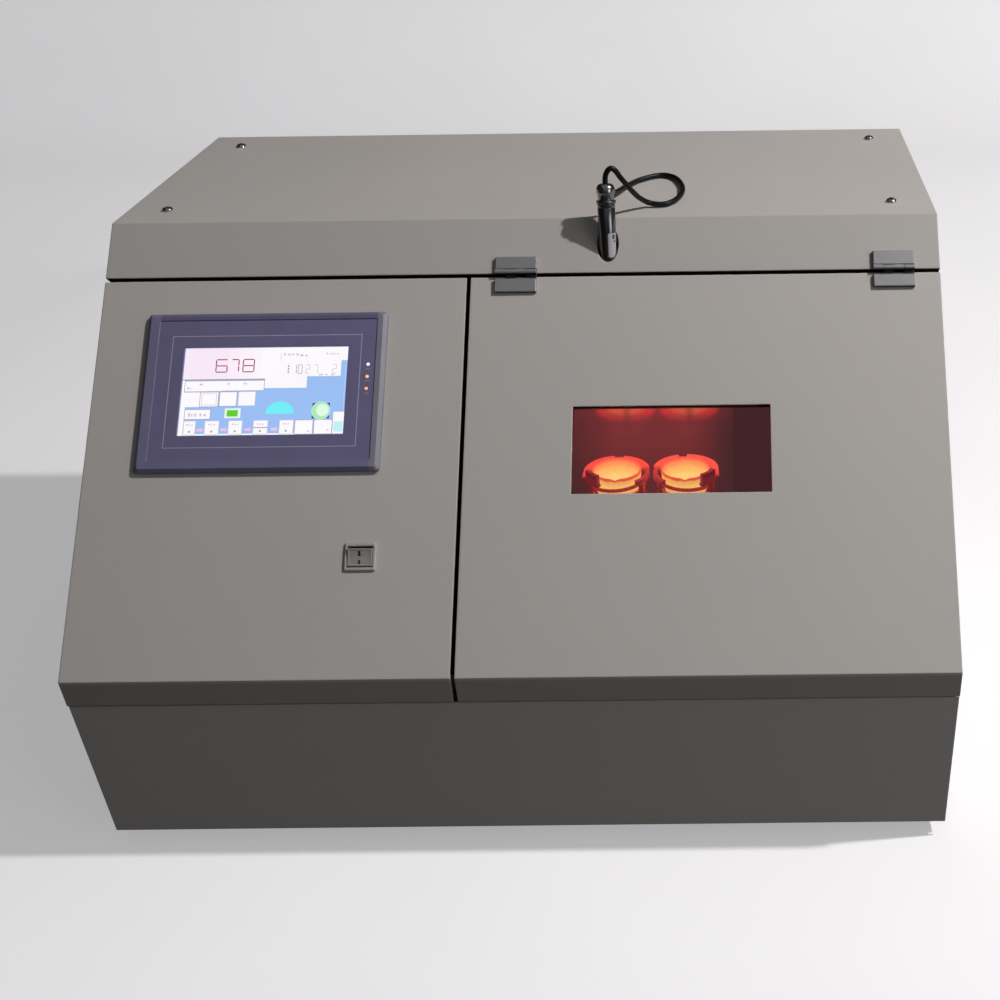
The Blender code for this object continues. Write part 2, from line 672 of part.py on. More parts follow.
def switch_rocker():
    """Two faces meeting in a very shallow vee, upper end raised."""
    # (up the slope, outwards) from the pivot, before tilting
    section = [(-8.1, 6.2), (0.0, 5.6), (8.1, 6.2), (7.2, -3.0),
               (3.4, -6.6), (-3.4, -6.6), (-7.2, -3.0)]
    half_width = 11.3
    sin, cos = math.sin(math.radians(8)), math.cos(math.radians(8))
    tilted = [(up * cos - out * sin, up * sin + out * cos) for up, out in section]
    rings = [[on_slope(u, SWITCH[1] + up, ROCKER_N + out) for up, out in tilted]
             for u in (SWITCH[0] - half_width, SWITCH[0] + half_width)]
    piece("switch_rocker", loft(rings), SWITCH_PLASTIC, ROCKER_PIVOT, ROCKER_AXIS)


# ------------------------------------------------------- temperature sensor
# Closed sections on the sensor axis: (distance from the fascia, radius).
# The body is open below for the sight line.
BODY_SECTION = [(-26, 5.5), (-26, 8.2), (-25, 8.5), (37.6, 8.5), (37.6, 5.5)]
NUT_SECTION = [(38.0, 6.3), (38.0, 9.2), (41.2, 9.2), (41.2, 6.3)]
GLAND_SECTION = [(38.0, 3.1), (38.0, 5.9), (41.6, 5.9), (41.6, 7.4), (47.0, 8.2),
                 (49.2, 9.0), (52.2, 8.9), (55.0, 7.5), (56.4, 5.4), (56.4, 3.1)]

# Cable centre line (x, y, z) between the gland and the entry in the cover
CABLE_LOOP = [
    (82.2, 2.5, 560.6), (84.7, 3.0, 565.5), (87.9, 3.5, 567.2), (91.5, 4.5, 564.5),
    (95.5, 7.0, 557.4), (100.5, 11.5, 549.1), (105.3, 18.0, 540.1), (111.0, 27.0, 530.6),
    (118.9, 36.0, 522.6), (128.5, 36.4, 520.4), (138.2, 39.0, 520.2), (146.6, 52.0, 520.2),
    (151.4, 71.3, 520.2), (150.8, 93.5, 520.2), (144.5, 116.3, 520.2), (134.8, 127.6, 520.2),
    (125.4, 128.4, 520.2), (115.3, 122.4, 520.2), (105.5, 112.9, 520.2), (98.0, 101.5, 520.2),
    (93.0, 92.0, 520.3), (88.9, 80.5, 521.0), (85.5, 66.5, 523.4), (82.3, 58.2, 526.4),
    (79.7, 52.8, 525.6)]


def pyrometer():
    # name, section, segments, distance of the origin
    for name, section, segments, distance in (("body", BODY_SECTION, 20, 0),
                                              ("nut", NUT_SECTION, 20, 38),
                                              ("gland", GLAND_SECTION, 18, 41)):
        piece("pyrometer_" + name, turned_ring(SENSOR_AT, SENSOR_DIR, section, segments),
              STEEL, SENSOR_AT + SENSOR_DIR * distance, smooth=True)


def pyrometer_cable():
    path = [SENSOR_AT + SENSOR_DIR * distance for distance in (34, 46, 57)]
    path += CABLE_LOOP
    path += [(*CABLE_ENTRY, z) for z in (521.2, 512.0, 502.0, 492.0)]
    piece("pyrometer_cable", swept_tube(catmull_rom(path, 2), CABLE_R, 6), CABLE,
          (*CABLE_ENTRY, TOP_Z), smooth=True)


def cable_bush():
    at = (*CABLE_ENTRY, TOP_Z)
    section = [(-6, 3.0), (-6, 4.7), (GAP, 4.7), (GAP, 6.6), (2.2, 6.2), (3.0, 4.6), (3.0, 3.0)]
    piece("cable_bush", turned_ring(at, Z_AXIS, section, 20), RUBBER, at, smooth=True)


# ---------------------------------------------------------- rocking carriage
def carriage_bracket(side, x):
    """Standing bracket on the liner floor, tapering up to the shaft."""
    low, shoulder, top = LINER_LOW + LINER_T + GAP, LINER_LOW + 6, AXIS_Z + 8
    outline = [(AXIS_Y - 22, low), (AXIS_Y + 22, low), (AXIS_Y + 22, shoulder),
               (AXIS_Y + 11, top), (AXIS_Y - 11, top), (AXIS_Y - 22, shoulder)]
    ob = piece("carriage_bracket_" + side, prism_x(outline, x - 4, x + 4), STEEL,
               (x, AXIS_Y, AXIS_Z))
    cut(ob, cylinder((x - 8, AXIS_Y, AXIS_Z), X_AXIS, 16, 5.4, 20))


def carriage_shaft():
    shaft = rod((28, STATION_Y, SHAFT_Z), X_AXIS, [(0, 4.2), (1, 5.0), (300, 5.0)], 20)
    carriage_piece("carriage_shaft", shaft, STEEL, LEVEL_PIVOT, smooth=True)


def carriage_plate():
    """Plate with a boss below; the shaft runs through the boss."""
    plate = box(44.0, 189.0, STATION_Y - 34, STATION_Y + 34, PLATE_Z, PLATE_Z + PLATE_T)
    ob = carriage_piece("carriage_plate", plate, STEEL, LEVEL_PIVOT)
    join(ob, lean(box(56, 177, STATION_Y - 9, STATION_Y + 9, SHAFT_Z - 8.5, PLATE_Z + 2)))
    cut(ob, lean(cylinder((30, STATION_Y, SHAFT_Z), X_AXIS, 180, 5.3, 20)))


CRUCIBLE_H = 36.0
# (distance from the rim, radius): outside from the foot up, then down the inside
CRUCIBLE_SECTION = [
    (-CRUCIBLE_H, 0), (-CRUCIBLE_H, 13.0), (-CRUCIBLE_H + 1.0, 14.2), (-CRUCIBLE_H + 8, 18.6),
    (-20, 22.2), (-9, 24.2), (-1.2, 25.2), (0.0, 25.0),
    (0.2, 24.2), (-0.8, 23.2), (-10, 21.9), (-21, 19.4),
    (-CRUCIBLE_H + 7, 14.5), (-CRUCIBLE_H + 3.2, 9.0), (-CRUCIBLE_H + 2.6, 0)]


def pouring_lip(angle, distance):
    """Widen and lower the rim near the front (-Y, 270 degrees)."""
    off_front = abs((math.degrees(angle) - 270.0 + 180.0) % 360.0 - 180.0)
    near_rim = max(0.0, min(1.0, (distance + 14.0) / 13.0))
    strength = max(0.0, 1.0 - off_front / 24.0) * near_rim
    return 1.0 + 0.085 * strength, -2.2 * strength


def crucible(side, x):
    """Low porcelain crucible: rounded wall, flat foot, a pouring lip at the front."""
    rim = (x, STATION_Y, RIM_Z)
    carriage_piece("crucible_" + side, turned_cup(rim, Z_AXIS, CRUCIBLE_SECTION, 24, pouring_lip),
                   PORCELAIN, rim, CRUCIBLE_AXES[side], smooth=True)


def arc_solid(x, inner, outer, z0, z1, start, end, steps):
    """Part of a ring round a crucible axis, between two angles in degrees."""
    rings = []
    for i in range(steps + 1):
        angle = math.radians(start + (end - start) * i / steps)
        cos, sin = math.cos(angle), math.sin(angle)
        rings.append([Vector((x + radius * cos, STATION_Y + radius * sin, z))
                      for radius, z in ((inner, z0), (outer, z0), (outer, z1), (inner, z1))])
    return loft(rings)


def radial_block(x, degrees, inner, outer, z0, z1, half_width):
    """Upright block reaching out from a crucible axis at an angle."""
    angle = math.radians(degrees)
    outward = Vector((math.cos(angle), math.sin(angle), 0))
    across = Vector((-outward.y, outward.x, 0))
    centre = Vector((x, STATION_Y, 0))
    plan = ((inner, -half_width), (outer, -half_width), (outer, half_width), (inner, half_width))
    return loft([[centre + outward * radius + across * offset + Vector((0, 0, z))
                  for radius, offset in plan] for z in (z0, z1)])


def holder_ring(side, x, mirrored):
    """Foot ring, and a rim on four posts, open at the front, with a tall and a low cheek."""
    section = [(HOLDER_Z, 9.0), (HOLDER_Z, 22.0), (HOLDER_Z + 9.4, 22.0), (HOLDER_Z + 9.4, 9.0)]
    ob = carriage_piece("holder_ring_" + side,
                        turned_ring((x, STATION_Y, 0), Z_AXIS, section, 16),
                        CERAMIC, (x, STATION_Y, HOLDER_Z), smooth=True)
    for degrees in (38, 142, 218, 322):
        join(ob,
             lean(radial_block(x, degrees, 20.5, 33.4, HOLDER_Z + 0.6, HOLDER_Z + 4.2, 2.6)),
             lean(radial_block(x, degrees, 30.8, 33.6, HOLDER_Z + 2.0, 274.0, 2.2)))
    # rim, low cheek, tall cheek: start and end angle, bottom, top, steps
    for start, end, z0, z1, steps in ((-47.0, 240.0, 272.2, 275.0, 22),
                                      (-47.0, 6.0, 273.0, 276.8, 6),
                                      (205.0, 238.0, 273.0, 285.0, 4)):
        if mirrored:
            start, end = 180.0 - end, 180.0 - start
        inset = 0.01 * (z1 - 275.0)   # keeps the walls of stacked arcs from coinciding
        join(ob, lean(arc_solid(x, 28.6 + inset, 33.5 - inset, z0, z1, start, end, steps)))


def collar(side, x, top, start, end, notch_degrees):
    """Open horseshoe collar with a notch at the back."""
    ob = carriage_piece("collar_" + side, arc_solid(x, 26.6, 33.5, 275.4, top, start, end, 20),
                        CERAMIC, (x, STATION_Y, top))
    notch_x = x + 30 * math.cos(math.radians(notch_degrees))
    cut(ob, lean(box(notch_x - 4.6, notch_x + 4.6, STATION_Y + 20, STATION_Y + 40, 277.2, 290)))


def coil(side, x, hand):
    """Copper tube coil round the crucible; hand is +1 or -1 for its sense."""
    tube_r, coil_r = 1.7, 27.7
    turns, steps_per_turn = 2.5, 16
    low, high = 248.5, 269.7
    steps = int(turns * steps_per_turn)
    start = math.radians(90 + hand * 30)
    path = []
    for i in range(steps + 1):
        angle = start + hand * 2 * math.pi * i / steps_per_turn
        path.append(Vector((x + coil_r * math.cos(angle), STATION_Y + coil_r * math.sin(angle),
                            low + (high - low) * i / steps)))
    carriage_piece("coil_" + side, swept_tube(path, tube_r, 6), COPPER, (x, STATION_Y, low),
                   smooth=True)


# --------------------------------------------------------- drive and modules
def rocking_gearmotor():
    """Square gearbox with a round motor, bored for the carriage shaft."""
    ob = piece("rocking_gearmotor",
               box(291.0, 326.0, AXIS_Y - 22, AXIS_Y + 22, AXIS_Z - 22, AXIS_Z + 22),
               ALUMINIUM, (308, AXIS_Y, AXIS_Z))
    join(ob, rod((324, AXIS_Y, AXIS_Z), X_AXIS, [(0, 17), (60, 17), (62, 15)], 20))
    cut(ob, cylinder((285, AXIS_Y, AXIS_Z), X_AXIS, 47, 5.5, 20))


def module_case(name, mat, x0, x1, y0, y1, top, front_wall, origin, slots=()):
    """Case open below with 2 mm walls, a front wall of its own and front slots."""
    wall = 2
    ob = piece(name, box(x0, x1, y0, y1, FLOOR_Z, top), mat, origin)
    if slots:
        cut(ob, *slots)
    cut(ob, box(x0 + wall, x1 - wall, y0 + front_wall, y1 - wall, 0, top - wall))


def modules():
    module_case("induction_generator", MODULE_GREY, -30.0, 262.0, 60.0, 250.0, top=200.0,
                front_wall=8, origin=(116, 155, 100),
                slots=[box(26 * i, 26 * i + 14, 58, 66, 60, 160) for i in range(9)])
    module_case("power_supply", ALUMINIUM, -360, -215, 20, 90, top=140,
                front_wall=2, origin=(-290, 55, 80))
    module_case("controller_module", MODULE_GREY, -190, -75, 20, 95, top=125,
                front_wall=7, origin=(-130, 60, 70),
                slots=[box(-183 + 18 * i, -171 + 18 * i, 15, 24, 96, 118) for i in range(6)])


# --------------------------------------------------------------- cooling fan
def fan_point(angle, radius, sideways, y):
    """Point at a radius and a sideways offset from the fan axis; y from the rear panel."""
    outward = Vector((math.cos(angle), 0, math.sin(angle)))
    across = Vector((-outward.z, 0, outward.x))
    return Vector((FAN_X, REAR_Y + y, FAN_Z)) + outward * radius + across * sideways


def cooling_fan_frame():
    """Square frame inside the rear panel: round duct, hub disc and three spokes."""
    ob = piece("cooling_fan_frame",
               box(FAN_X - 60, FAN_X + 60, REAR_Y - 38.0, REAR_Y - GAP, FAN_Z - 60, FAN_Z + 60),
               BLACK, FAN_AT)
    cut(ob, cylinder((FAN_X, REAR_Y - 45, FAN_Z), Y_AXIS, 60, 56, 20))
    join(ob, cylinder((FAN_X, REAR_Y - 5.0, FAN_Z), Y_AXIS, 4.6, 20, 20))
    plan = ((15, -3), (58, -3), (58, 3), (15, 3))     # radius, sideways
    for k in range(3):
        angle = math.radians(90 + 120 * k)
        join(ob, loft([[fan_point(angle, radius, sideways, y) for radius, sideways in plan]
                       for y in (-4.5, -1.0)]))


def fan_rotor():
    """Hub with seven slanted blades."""
    hub = rod((FAN_X, REAR_Y - 34, FAN_Z), Y_AXIS, [(0, 18.0), (1.5, 19.5), (28.0, 19.5)], 20)
    ob = piece("fan_rotor", hub, BLACK, FAN_AT, FAN_AXIS)
    # blade ends as (radius, sideways, y)
    root = ((17, -7, -32), (17, 7, -9), (17, 9, -9), (17, -5, -32))
    tip = ((52, -10, -30), (52, 10, -10), (52, 12, -10), (52, -8, -30))
    for k in range(7):
        angle = 2 * math.pi * k / 7
        join(ob, loft([[fan_point(angle, *point) for point in end] for end in (root, tip)]))


# ------------------------------------------------ fittings on the rear panel
def inlet_box(half_width, half_height, y0, y1):
    """Box centred on the power inlet; y0 and y1 from the rear panel."""
    return box(INLET_X - half_width, INLET_X + half_width, REAR_Y + y0, REAR_Y + y1,
               INLET_Z - half_height, INLET_Z + half_height)


def power_inlet():
    """Body through the panel, outer flange, and a socket open to the rear."""
    ob = piece("power_inlet", inlet_box(INLET_HALF_W, INLET_HALF_H, -24, SHEET + 0.2), BLACK,
               (INLET_X, REAR_Y, INLET_Z))
    join(ob,
         inlet_box(24, 15, SHEET + GAP, SHEET + 3.8),
         inlet_box(12, 10, 0, SHEET + 2))
    cut(ob, inlet_box(11, 8, -12, 20))


def water_tails():
    """Flanged hose tails with a barbed end."""
    section = [(-14, 4.0), (-14, 8.0), (SHEET + GAP, 8.0), (SHEET + GAP, 12.0), (6.0, 12.0),
               (6.0, 6.2), (13, 6.2), (13, 7.4), (22, 5.6), (22, 4.0)]
    for name, x in WATER_TAILS:
        at = (x, REAR_Y, WATER_Z)
        piece(name, turned_ring(at, Y_AXIS, section, 12), BRASS, at, smooth=True)


# -------------------------------------------------------------------- build
base_front_panel()
bottom_plate()
side_panel("side_panel_left", -1)
side_panel("side_panel_right", 1)
rear_panel()
top_cover()
front_frame()
partition_wall()
feet()
cover_screws()

chamber_liner()
reflector_plate()
furnace_door()
door_window()
hinge("left", u0=-26.0, u1=14.0, fixed_top=399.0, door_low=362.8)
hinge("right", u0=335.6, u1=375.2, fixed_top=400.6, door_low=364.0)

control_panel()
hmi_bezel()
hmi_screen()
hmi_rear_case()
switch_bezel()
switch_rocker()
pyrometer()
pyrometer_cable()
cable_bush()

carriage_bracket("left", 38.0)
carriage_bracket("right", 196.0)
carriage_shaft()
carriage_plate()
for station_side, station_x in zip(("left", "right"), STATION_X):
    holder_ring(station_side, station_x, mirrored=station_side == "right")
    crucible(station_side, station_x)
collar("left", STATION_X[0], top=279.0, start=12.0, end=196.0, notch_degrees=90)
collar("right", STATION_X[1], top=279.8, start=-16.0, end=168.0, notch_degrees=97)
coil("left", STATION_X[0], hand=1)
coil("right", STATION_X[1], hand=-1)

rocking_gearmotor()
modules()
cooling_fan_frame()
fan_rotor()
power_inlet()
water_tails()
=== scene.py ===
import math
import bpy
import bmesh
from mathutils import Vector, Matrix


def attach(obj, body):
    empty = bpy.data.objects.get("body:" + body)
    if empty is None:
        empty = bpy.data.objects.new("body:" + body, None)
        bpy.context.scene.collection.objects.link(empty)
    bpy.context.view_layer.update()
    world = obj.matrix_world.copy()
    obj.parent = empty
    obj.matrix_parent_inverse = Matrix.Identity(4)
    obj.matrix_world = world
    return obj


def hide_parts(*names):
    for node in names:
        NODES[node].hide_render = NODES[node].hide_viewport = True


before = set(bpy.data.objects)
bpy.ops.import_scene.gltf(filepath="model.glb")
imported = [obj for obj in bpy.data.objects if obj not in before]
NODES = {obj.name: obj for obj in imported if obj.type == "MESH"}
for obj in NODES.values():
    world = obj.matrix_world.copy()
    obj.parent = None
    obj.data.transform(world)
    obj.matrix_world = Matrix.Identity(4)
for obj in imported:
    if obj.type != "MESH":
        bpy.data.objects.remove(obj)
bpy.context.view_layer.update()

MM = 0.001
S45 = math.sqrt(0.5)


def S(u, v, n=0.0):
    """Sloped front in millimetres: u across, v up the slope, n outwards."""
    return Vector((u, -302.0 + v * S45 - n * S45, 206.0 + v * S45 + n * S45))


# ============================================================== materials
class Mat:
    """A small node-graph builder round one Principled material."""

    def __init__(self, name):
        self.m = bpy.data.materials.new(name)
        self.m.use_nodes = True
        self.nt = self.m.node_tree
        self.b = self.nt.nodes["Principled BSDF"]
        self.tc = self.nt.nodes.new("ShaderNodeTexCoord")
        self.normal = None

    def n(self, kind, **kw):
        x = self.nt.nodes.new("ShaderNode" + kind)
        for a, v in kw.items():
            setattr(x, a, v)
        return x

    def l(self, a, b):
        self.nt.links.new(a, b)

    def plug(self, socket, v):
        if hasattr(v, "is_linked"):
            self.l(v, socket)
        else:
            socket.default_value = v

    def coords(self, stretch=None, rot=None):
        if stretch is None and rot is None:
            return self.tc.outputs["Object"]
        mp = self.n("Mapping")
        if stretch is not None:
            mp.inputs["Scale"].default_value = stretch
        if rot is not None:
            mp.inputs["Rotation"].default_value = rot
        self.l(self.tc.outputs["Object"], mp.inputs["Vector"])
        return mp.outputs["Vector"]

    def noise(self, scale, detail=2.0, rough=0.5, stretch=None, rot=None, distortion=0.0):
        t = self.n("TexNoise")
        t.inputs["Scale"].default_value = scale
        t.inputs["Detail"].default_value = detail
        t.inputs["Roughness"].default_value = rough
        t.inputs["Distortion"].default_value = distortion
        self.l(self.coords(stretch, rot), t.inputs["Vector"])
        return t.outputs["Fac"]

    def ramp(self, fac, stops, interp="LINEAR"):
        r = self.n("ValToRGB")
        r.color_ramp.interpolation = interp
        els = r.color_ramp.elements
        while len(els) < len(stops):
            els.new(0.5)
        for e, (p, c) in zip(els, stops):
            e.position = p
            e.color = (c[0], c[1], c[2], 1.0) if hasattr(c, "__len__") else (c, c, c, 1.0)
        self.l(fac, r.inputs["Fac"])
        return r.outputs["Color"]

    def span(self, x, a, b, c, d):
        r = self.n("MapRange")
        r.inputs["From Min"].default_value = a
        r.inputs["From Max"].default_value = b
        r.inputs["To Min"].default_value = c
        r.inputs["To Max"].default_value = d
        self.l(x, r.inputs["Value"])
        return r.outputs["Result"]

    def math(self, op, a, b=None, c=None):
        r = self.n("Math", operation=op)
        for k, v in enumerate((a, b, c)):
            if v is not None:
                self.plug(r.inputs[k], v)
        return r.outputs[0]

    def mix(self, fac, a, b, blend="MIX"):
        r = self.n("Mix", data_type="RGBA", blend_type=blend)
        self.plug(r.inputs[0], fac)
        self.plug(r.inputs[6], a)
        self.plug(r.inputs[7], b)
        return r.outputs[2]

    def bevel(self, radius, samples=6):
        r = self.n("Bevel", samples=samples)
        r.inputs["Radius"].default_value = radius
        self.normal = r.outputs["Normal"]
        return self

    def bump(self, height, strength, distance):
        r = self.n("Bump")
        r.inputs["Strength"].default_value = strength
        r.inputs["Distance"].default_value = distance
        self.l(height, r.inputs["Height"])
        if self.normal is not None:
            self.l(self.normal, r.inputs["Normal"])
        self.normal = r.outputs["Normal"]
        return self

    def set(self, **kw):
        for k, v in kw.items():
            self.plug(self.b.inputs[k.replace("_", " ").title().replace("Ior", "IOR")], v)
        return self

    def done(self):
        if self.normal is not None:
            self.l(self.normal, self.b.inputs["Normal"])
        return self.m


def rgb(c, k=1.0):
    return (c[0] * k, c[1] * k, c[2] * k, 1.0)


def coat(name, c, radius=0.0016, rough=(0.46, 0.58), peel=0.10, inside=None):
    """Powder coat: fine orange peel, faint unevenness, a little dust in the lows.

    inside=(offset, kind): painted shade: the inward returns that show through the gaps are painted near-black, a pan's
    lower lip is painted darker, and the hood's sloped fascia a little darker than its top.
    """
    m = Mat(name).bevel(radius)
    big = m.noise(2.6, 3.0, 0.55)
    fine = m.noise(260.0, 2.0, 0.6)
    base = m.ramp(big, [(0.30, rgb(c, 0.975)), (0.55, rgb(c)), (0.78, rgb(c, 1.02))])
    speck = m.ramp(fine, [(0.30, 0.965), (0.48, 1.0)])
    base = m.mix(0.55, base, speck, "MULTIPLY")
    rub = m.noise(11.0, 4.0, 0.62, stretch=(1.0, 0.35, 0.35))
    base = m.mix(m.span(rub, 0.60, 0.80, 0.0, 0.05), base, rgb((0.30, 0.28, 0.25)))
    if inside is not None:
        t, kind = inside
        sep = m.n("SeparateXYZ")
        m.l(m.tc.outputs["Object"], sep.inputs[0])
        y, z = sep.outputs[1], sep.outputs[2]
        depth = m.math("MULTIPLY_ADD", m.math("SUBTRACT", z, y), S45, (t.z - t.y - 0.508) * S45)
        along = m.math("MULTIPLY_ADD", m.math("ADD", z, y), S45, (t.z + t.y + 0.096) * S45)
        if kind == "pan":
            across = m.math("ABSOLUTE", m.math("ADD", sep.outputs[0], t.x))
            # painted shadow: the inward returns behind the gaps go near-black
            return_shade = m.math("MULTIPLY", m.math("MULTIPLY", m.math("LESS_THAN", depth, -0.0013), m.math("GREATER_THAN", along, 0.004)), m.math("LESS_THAN", across, 0.3992))
            # painted shade: the pan's vertical lower lip is darkened to 70 per cent
            lip = m.math("MULTIPLY", m.span(depth, -0.0006, -0.0030, 0.0, 1.0), m.math("LESS_THAN", along, 0.004))
            base = m.mix(lip, base, rgb(c, 0.70))
        else:
            # painted shadow: the returns below the hood's fascia go near-black
            return_shade = m.math("MULTIPLY", m.math("LESS_THAN", depth, -0.0009), m.math("LESS_THAN", along, 0.3880))
            # painted shade: the sloped fascia is made 9 per cent darker than the top
            base = m.mix(m.span(along, 0.4390, 0.4405, 1.0, 0.0), base, m.mix(1.0, base, (0.91, 0.91, 0.91, 1.0), "MULTIPLY"))
        base = m.mix(return_shade, base, (0.010, 0.010, 0.010, 1.0))
    m.set(base_color=base, roughness=m.span(m.noise(24.0, 3.0), 0.3, 0.7, rough[0], rough[1]), specular_ior_level=0.35)
    m.bump(m.noise(520.0, 2.0, 0.55), peel, 0.00035)
    m.bump(m.noise(1700.0, 1.0, 0.5), 0.05, 0.0001)
    return m.done()


def metal(name, c, rough=(0.25, 0.4), brush=None, radius=0.0006, aniso=0.0, wear=0.12, metallic=1.0):
    """Machined or plated metal: brushed or fine-grained, with faint stains."""
    m = Mat(name).bevel(radius, 4)
    stretch = brush if brush else (1.0, 1.0, 1.0)
    line = m.noise(900.0 if brush else 420.0, 3.0, 0.6, stretch=stretch)
    stain = m.noise(34.0, 5.0, 0.65)
    base = m.ramp(stain, [(0.30, rgb(c, 1.0 - wear)), (0.60, rgb(c)), (0.85, rgb(c, 1.03))])
    m.set(base_color=m.mix(0.35, base, m.ramp(line, [(0.3, 0.86), (0.7, 1.0)]), "MULTIPLY"), metallic=metallic,
          roughness=m.math("ADD", m.span(line, 0.25, 0.75, rough[0], rough[1]), m.span(stain, 0.4, 0.8, 0.0, 0.08)))
    if aniso:
        m.set(anisotropic=aniso)
    m.bump(line, 0.08 if brush else 0.04, 0.00008)
    return m.done()


def plastic(name, c, rough=(0.38, 0.52), grain=900.0, strength=0.12, radius=0.0006, spec=0.5):
    """Moulded plastic or rubber with a fine spark-eroded grain."""
    m = Mat(name).bevel(radius, 4)
    g = m.noise(grain, 2.0, 0.6)
    base = m.ramp(m.noise(45.0, 4.0, 0.6), [(0.3, rgb(c, 0.92)), (0.6, rgb(c)), (0.85, rgb(c, 1.05))])
    m.set(base_color=m.mix(0.25, base, m.ramp(g, [(0.3, 0.85), (0.6, 1.0)]), "MULTIPLY"),
          roughness=m.span(m.noise(70.0, 3.0), 0.3, 0.7, rough[0], rough[1]), specular_ior_level=spec)
    m.bump(g, strength, 0.00012)
    return m.done()


COAT = coat("coat", (0.575, 0.552, 0.512))
COAT_DOOR = coat("coat_door", (0.575, 0.552, 0.512), inside=(NODES["furnace_door"].matrix_world.translation.copy(), "pan"))
COAT_PANEL = coat("coat_panel", (0.575, 0.552, 0.512), inside=(NODES["control_panel"].matrix_world.translation.copy(), "pan"))
COAT_TOP = coat("coat_top", (0.575, 0.552, 0.512), inside=(NODES["top_cover"].matrix_world.translation.copy(), "hood"))
COAT_IN = coat("coat_inner", (0.46, 0.44, 0.41), radius=0.0008)
# painted shade: the front frame and partition wall, seen only through the gaps, are painted near-black
COAT_GAP_SHADE = coat("coat_painted_gap_shade", (0.014, 0.013, 0.013), radius=0.0008)


def wall_steel(name, c, rough, metallic, low, high):
    """Stainless sheet with brushed grain; a painted warm glow, strongest behind the crucibles, stands in for their
    light, and painted shade makes it near-black low down and in two narrow upright bands, breaking up its reflections.
    """
    m = Mat(name).bevel(0.0006, 4)
    line = m.noise(900.0, 3.0, 0.6, stretch=(0.06, 1.0, 1.0))
    stain = m.noise(22.0, 5.0, 0.65)
    base = m.ramp(stain, [(0.30, rgb(c, 0.85)), (0.60, rgb(c)), (0.85, rgb(c, 1.05))])
    geo = m.n("NewGeometry")
    sep = m.n("SeparateXYZ")
    m.l(geo.outputs["Position"], sep.inputs[0])
    # painted glow mask: strongest behind the two stations and higher up
    soft = m.math("ADD", sep.outputs[0], m.math("MULTIPLY_ADD", stain, 0.03, -0.015))
    up = m.span(soft, 0.006, 0.075, 0.0, 1.0)
    down = m.span(soft, 0.150, 0.205, 1.0, 0.0)
    k = m.math("MULTIPLY", up, down)
    tall = m.span(sep.outputs[2], 0.21, 0.27, 0.45, 1.0)
    painted_glow = m.mix(m.math("MULTIPLY", k, tall), rgb(low), rgb(high))
    # painted shade: below about 0.3 m and in two narrow upright bands the base colour goes near-black, dimming the
    # reflections there
    reflection_shade = m.span(sep.outputs[2], 0.293, 0.307, 0.10, 1.0)
    for shade_band_x in (0.0885, 0.1545):
        near = m.math("ABSOLUTE", m.math("SUBTRACT", sep.outputs[0], shade_band_x))
        reflection_shade = m.math("MULTIPLY", reflection_shade, m.span(near, 0.001, 0.006, 0.45, 1.0))
    m.set(base_color=m.mix(reflection_shade, (0.012, 0.010, 0.010, 1.0), base), metallic=metallic,
          roughness=m.math("ADD", m.span(line, 0.25, 0.75, rough[0], rough[1]), m.span(stain, 0.4, 0.8, 0.0, 0.03)),
          emission_color=painted_glow, emission_strength=1.0)
    m.bump(line, 0.02, 0.00004)
    return m.done()


# painted light: the red tint of both steels' base colours, like their glow colours, stands in for the crucibles' red
# light
LINER = wall_steel("liner_steel", (0.10, 0.07, 0.07), (0.38, 0.55), 1.0, (0.058, 0.019, 0.022), (0.108, 0.024, 0.027))
POLISH = wall_steel("polished_steel", (0.42, 0.105, 0.12), (0.10, 0.16), 1.0, (0.058, 0.022, 0.026), (0.195, 0.033, 0.037))
SATIN = metal("satin_zinc", (0.37, 0.37, 0.375), (0.42, 0.55), radius=0.0007, metallic=0.55)


def hinge_zinc_painted_shade(name, t, slot):
    """Satin zinc; faces turned down the slope and faces turned to the left are painted near-black as shade, and on the
    door's leaves the slot under the knuckles is painted black as its shadow.
    """
    m = Mat(name).bevel(0.0007, 4)
    line = m.noise(300.0, 4.0, 0.65)
    stain = m.noise(22.0, 5.0, 0.65)
    base = m.ramp(stain, [(0.30, (0.345, 0.345, 0.35)), (0.60, (0.37, 0.37, 0.375)), (0.85, (0.385, 0.385, 0.39))])
    base = m.mix(0.3, base, m.ramp(line, [(0.3, 0.88), (0.7, 1.0)]), "MULTIPLY")
    geo = m.n("NewGeometry")
    nrm = m.n("SeparateXYZ")
    m.l(geo.outputs["True Normal"], nrm.inputs[0])
    # painted shade: faces turned down the slope and to the left go near-black
    low = m.math("LESS_THAN", m.math("ADD", nrm.outputs[1], nrm.outputs[2]), -1.2)
    side = m.math("LESS_THAN", nrm.outputs[0], -0.8)
    dark = m.math("MAXIMUM", low, side)
    sep = m.n("SeparateXYZ")
    m.l(m.tc.outputs["Object"], sep.inputs[0])
    y, z = sep.outputs[1], sep.outputs[2]
    depth = m.math("MULTIPLY_ADD", m.math("SUBTRACT", z, y), S45, (t.z - t.y - 0.508) * S45)
    along = m.math("MULTIPLY_ADD", m.math("ADD", z, y), S45, (t.z + t.y + 0.096) * S45)
    if slot:
        # painted shadow: the slot under the knuckles goes black
        gap = m.math("MULTIPLY", m.math("LESS_THAN", depth, 0.0019), m.math("GREATER_THAN", along, 0.3754))
        dark = m.math("MAXIMUM", dark, gap)
    m.set(base_color=m.mix(dark, base, (0.012, 0.012, 0.012, 1.0)), metallic=m.math("SUBTRACT", 0.55, m.math("MULTIPLY", dark, 0.55)),
          roughness=m.span(line, 0.25, 0.75, 0.42, 0.55))
    m.bump(line, 0.04, 0.00008)
    return m.done()


SCREW = metal("screw_chrome", (0.62, 0.62, 0.63), (0.10, 0.2), radius=0.0003)
RUBBER = plastic("rubber", (0.028, 0.028, 0.028), (0.7, 0.85))


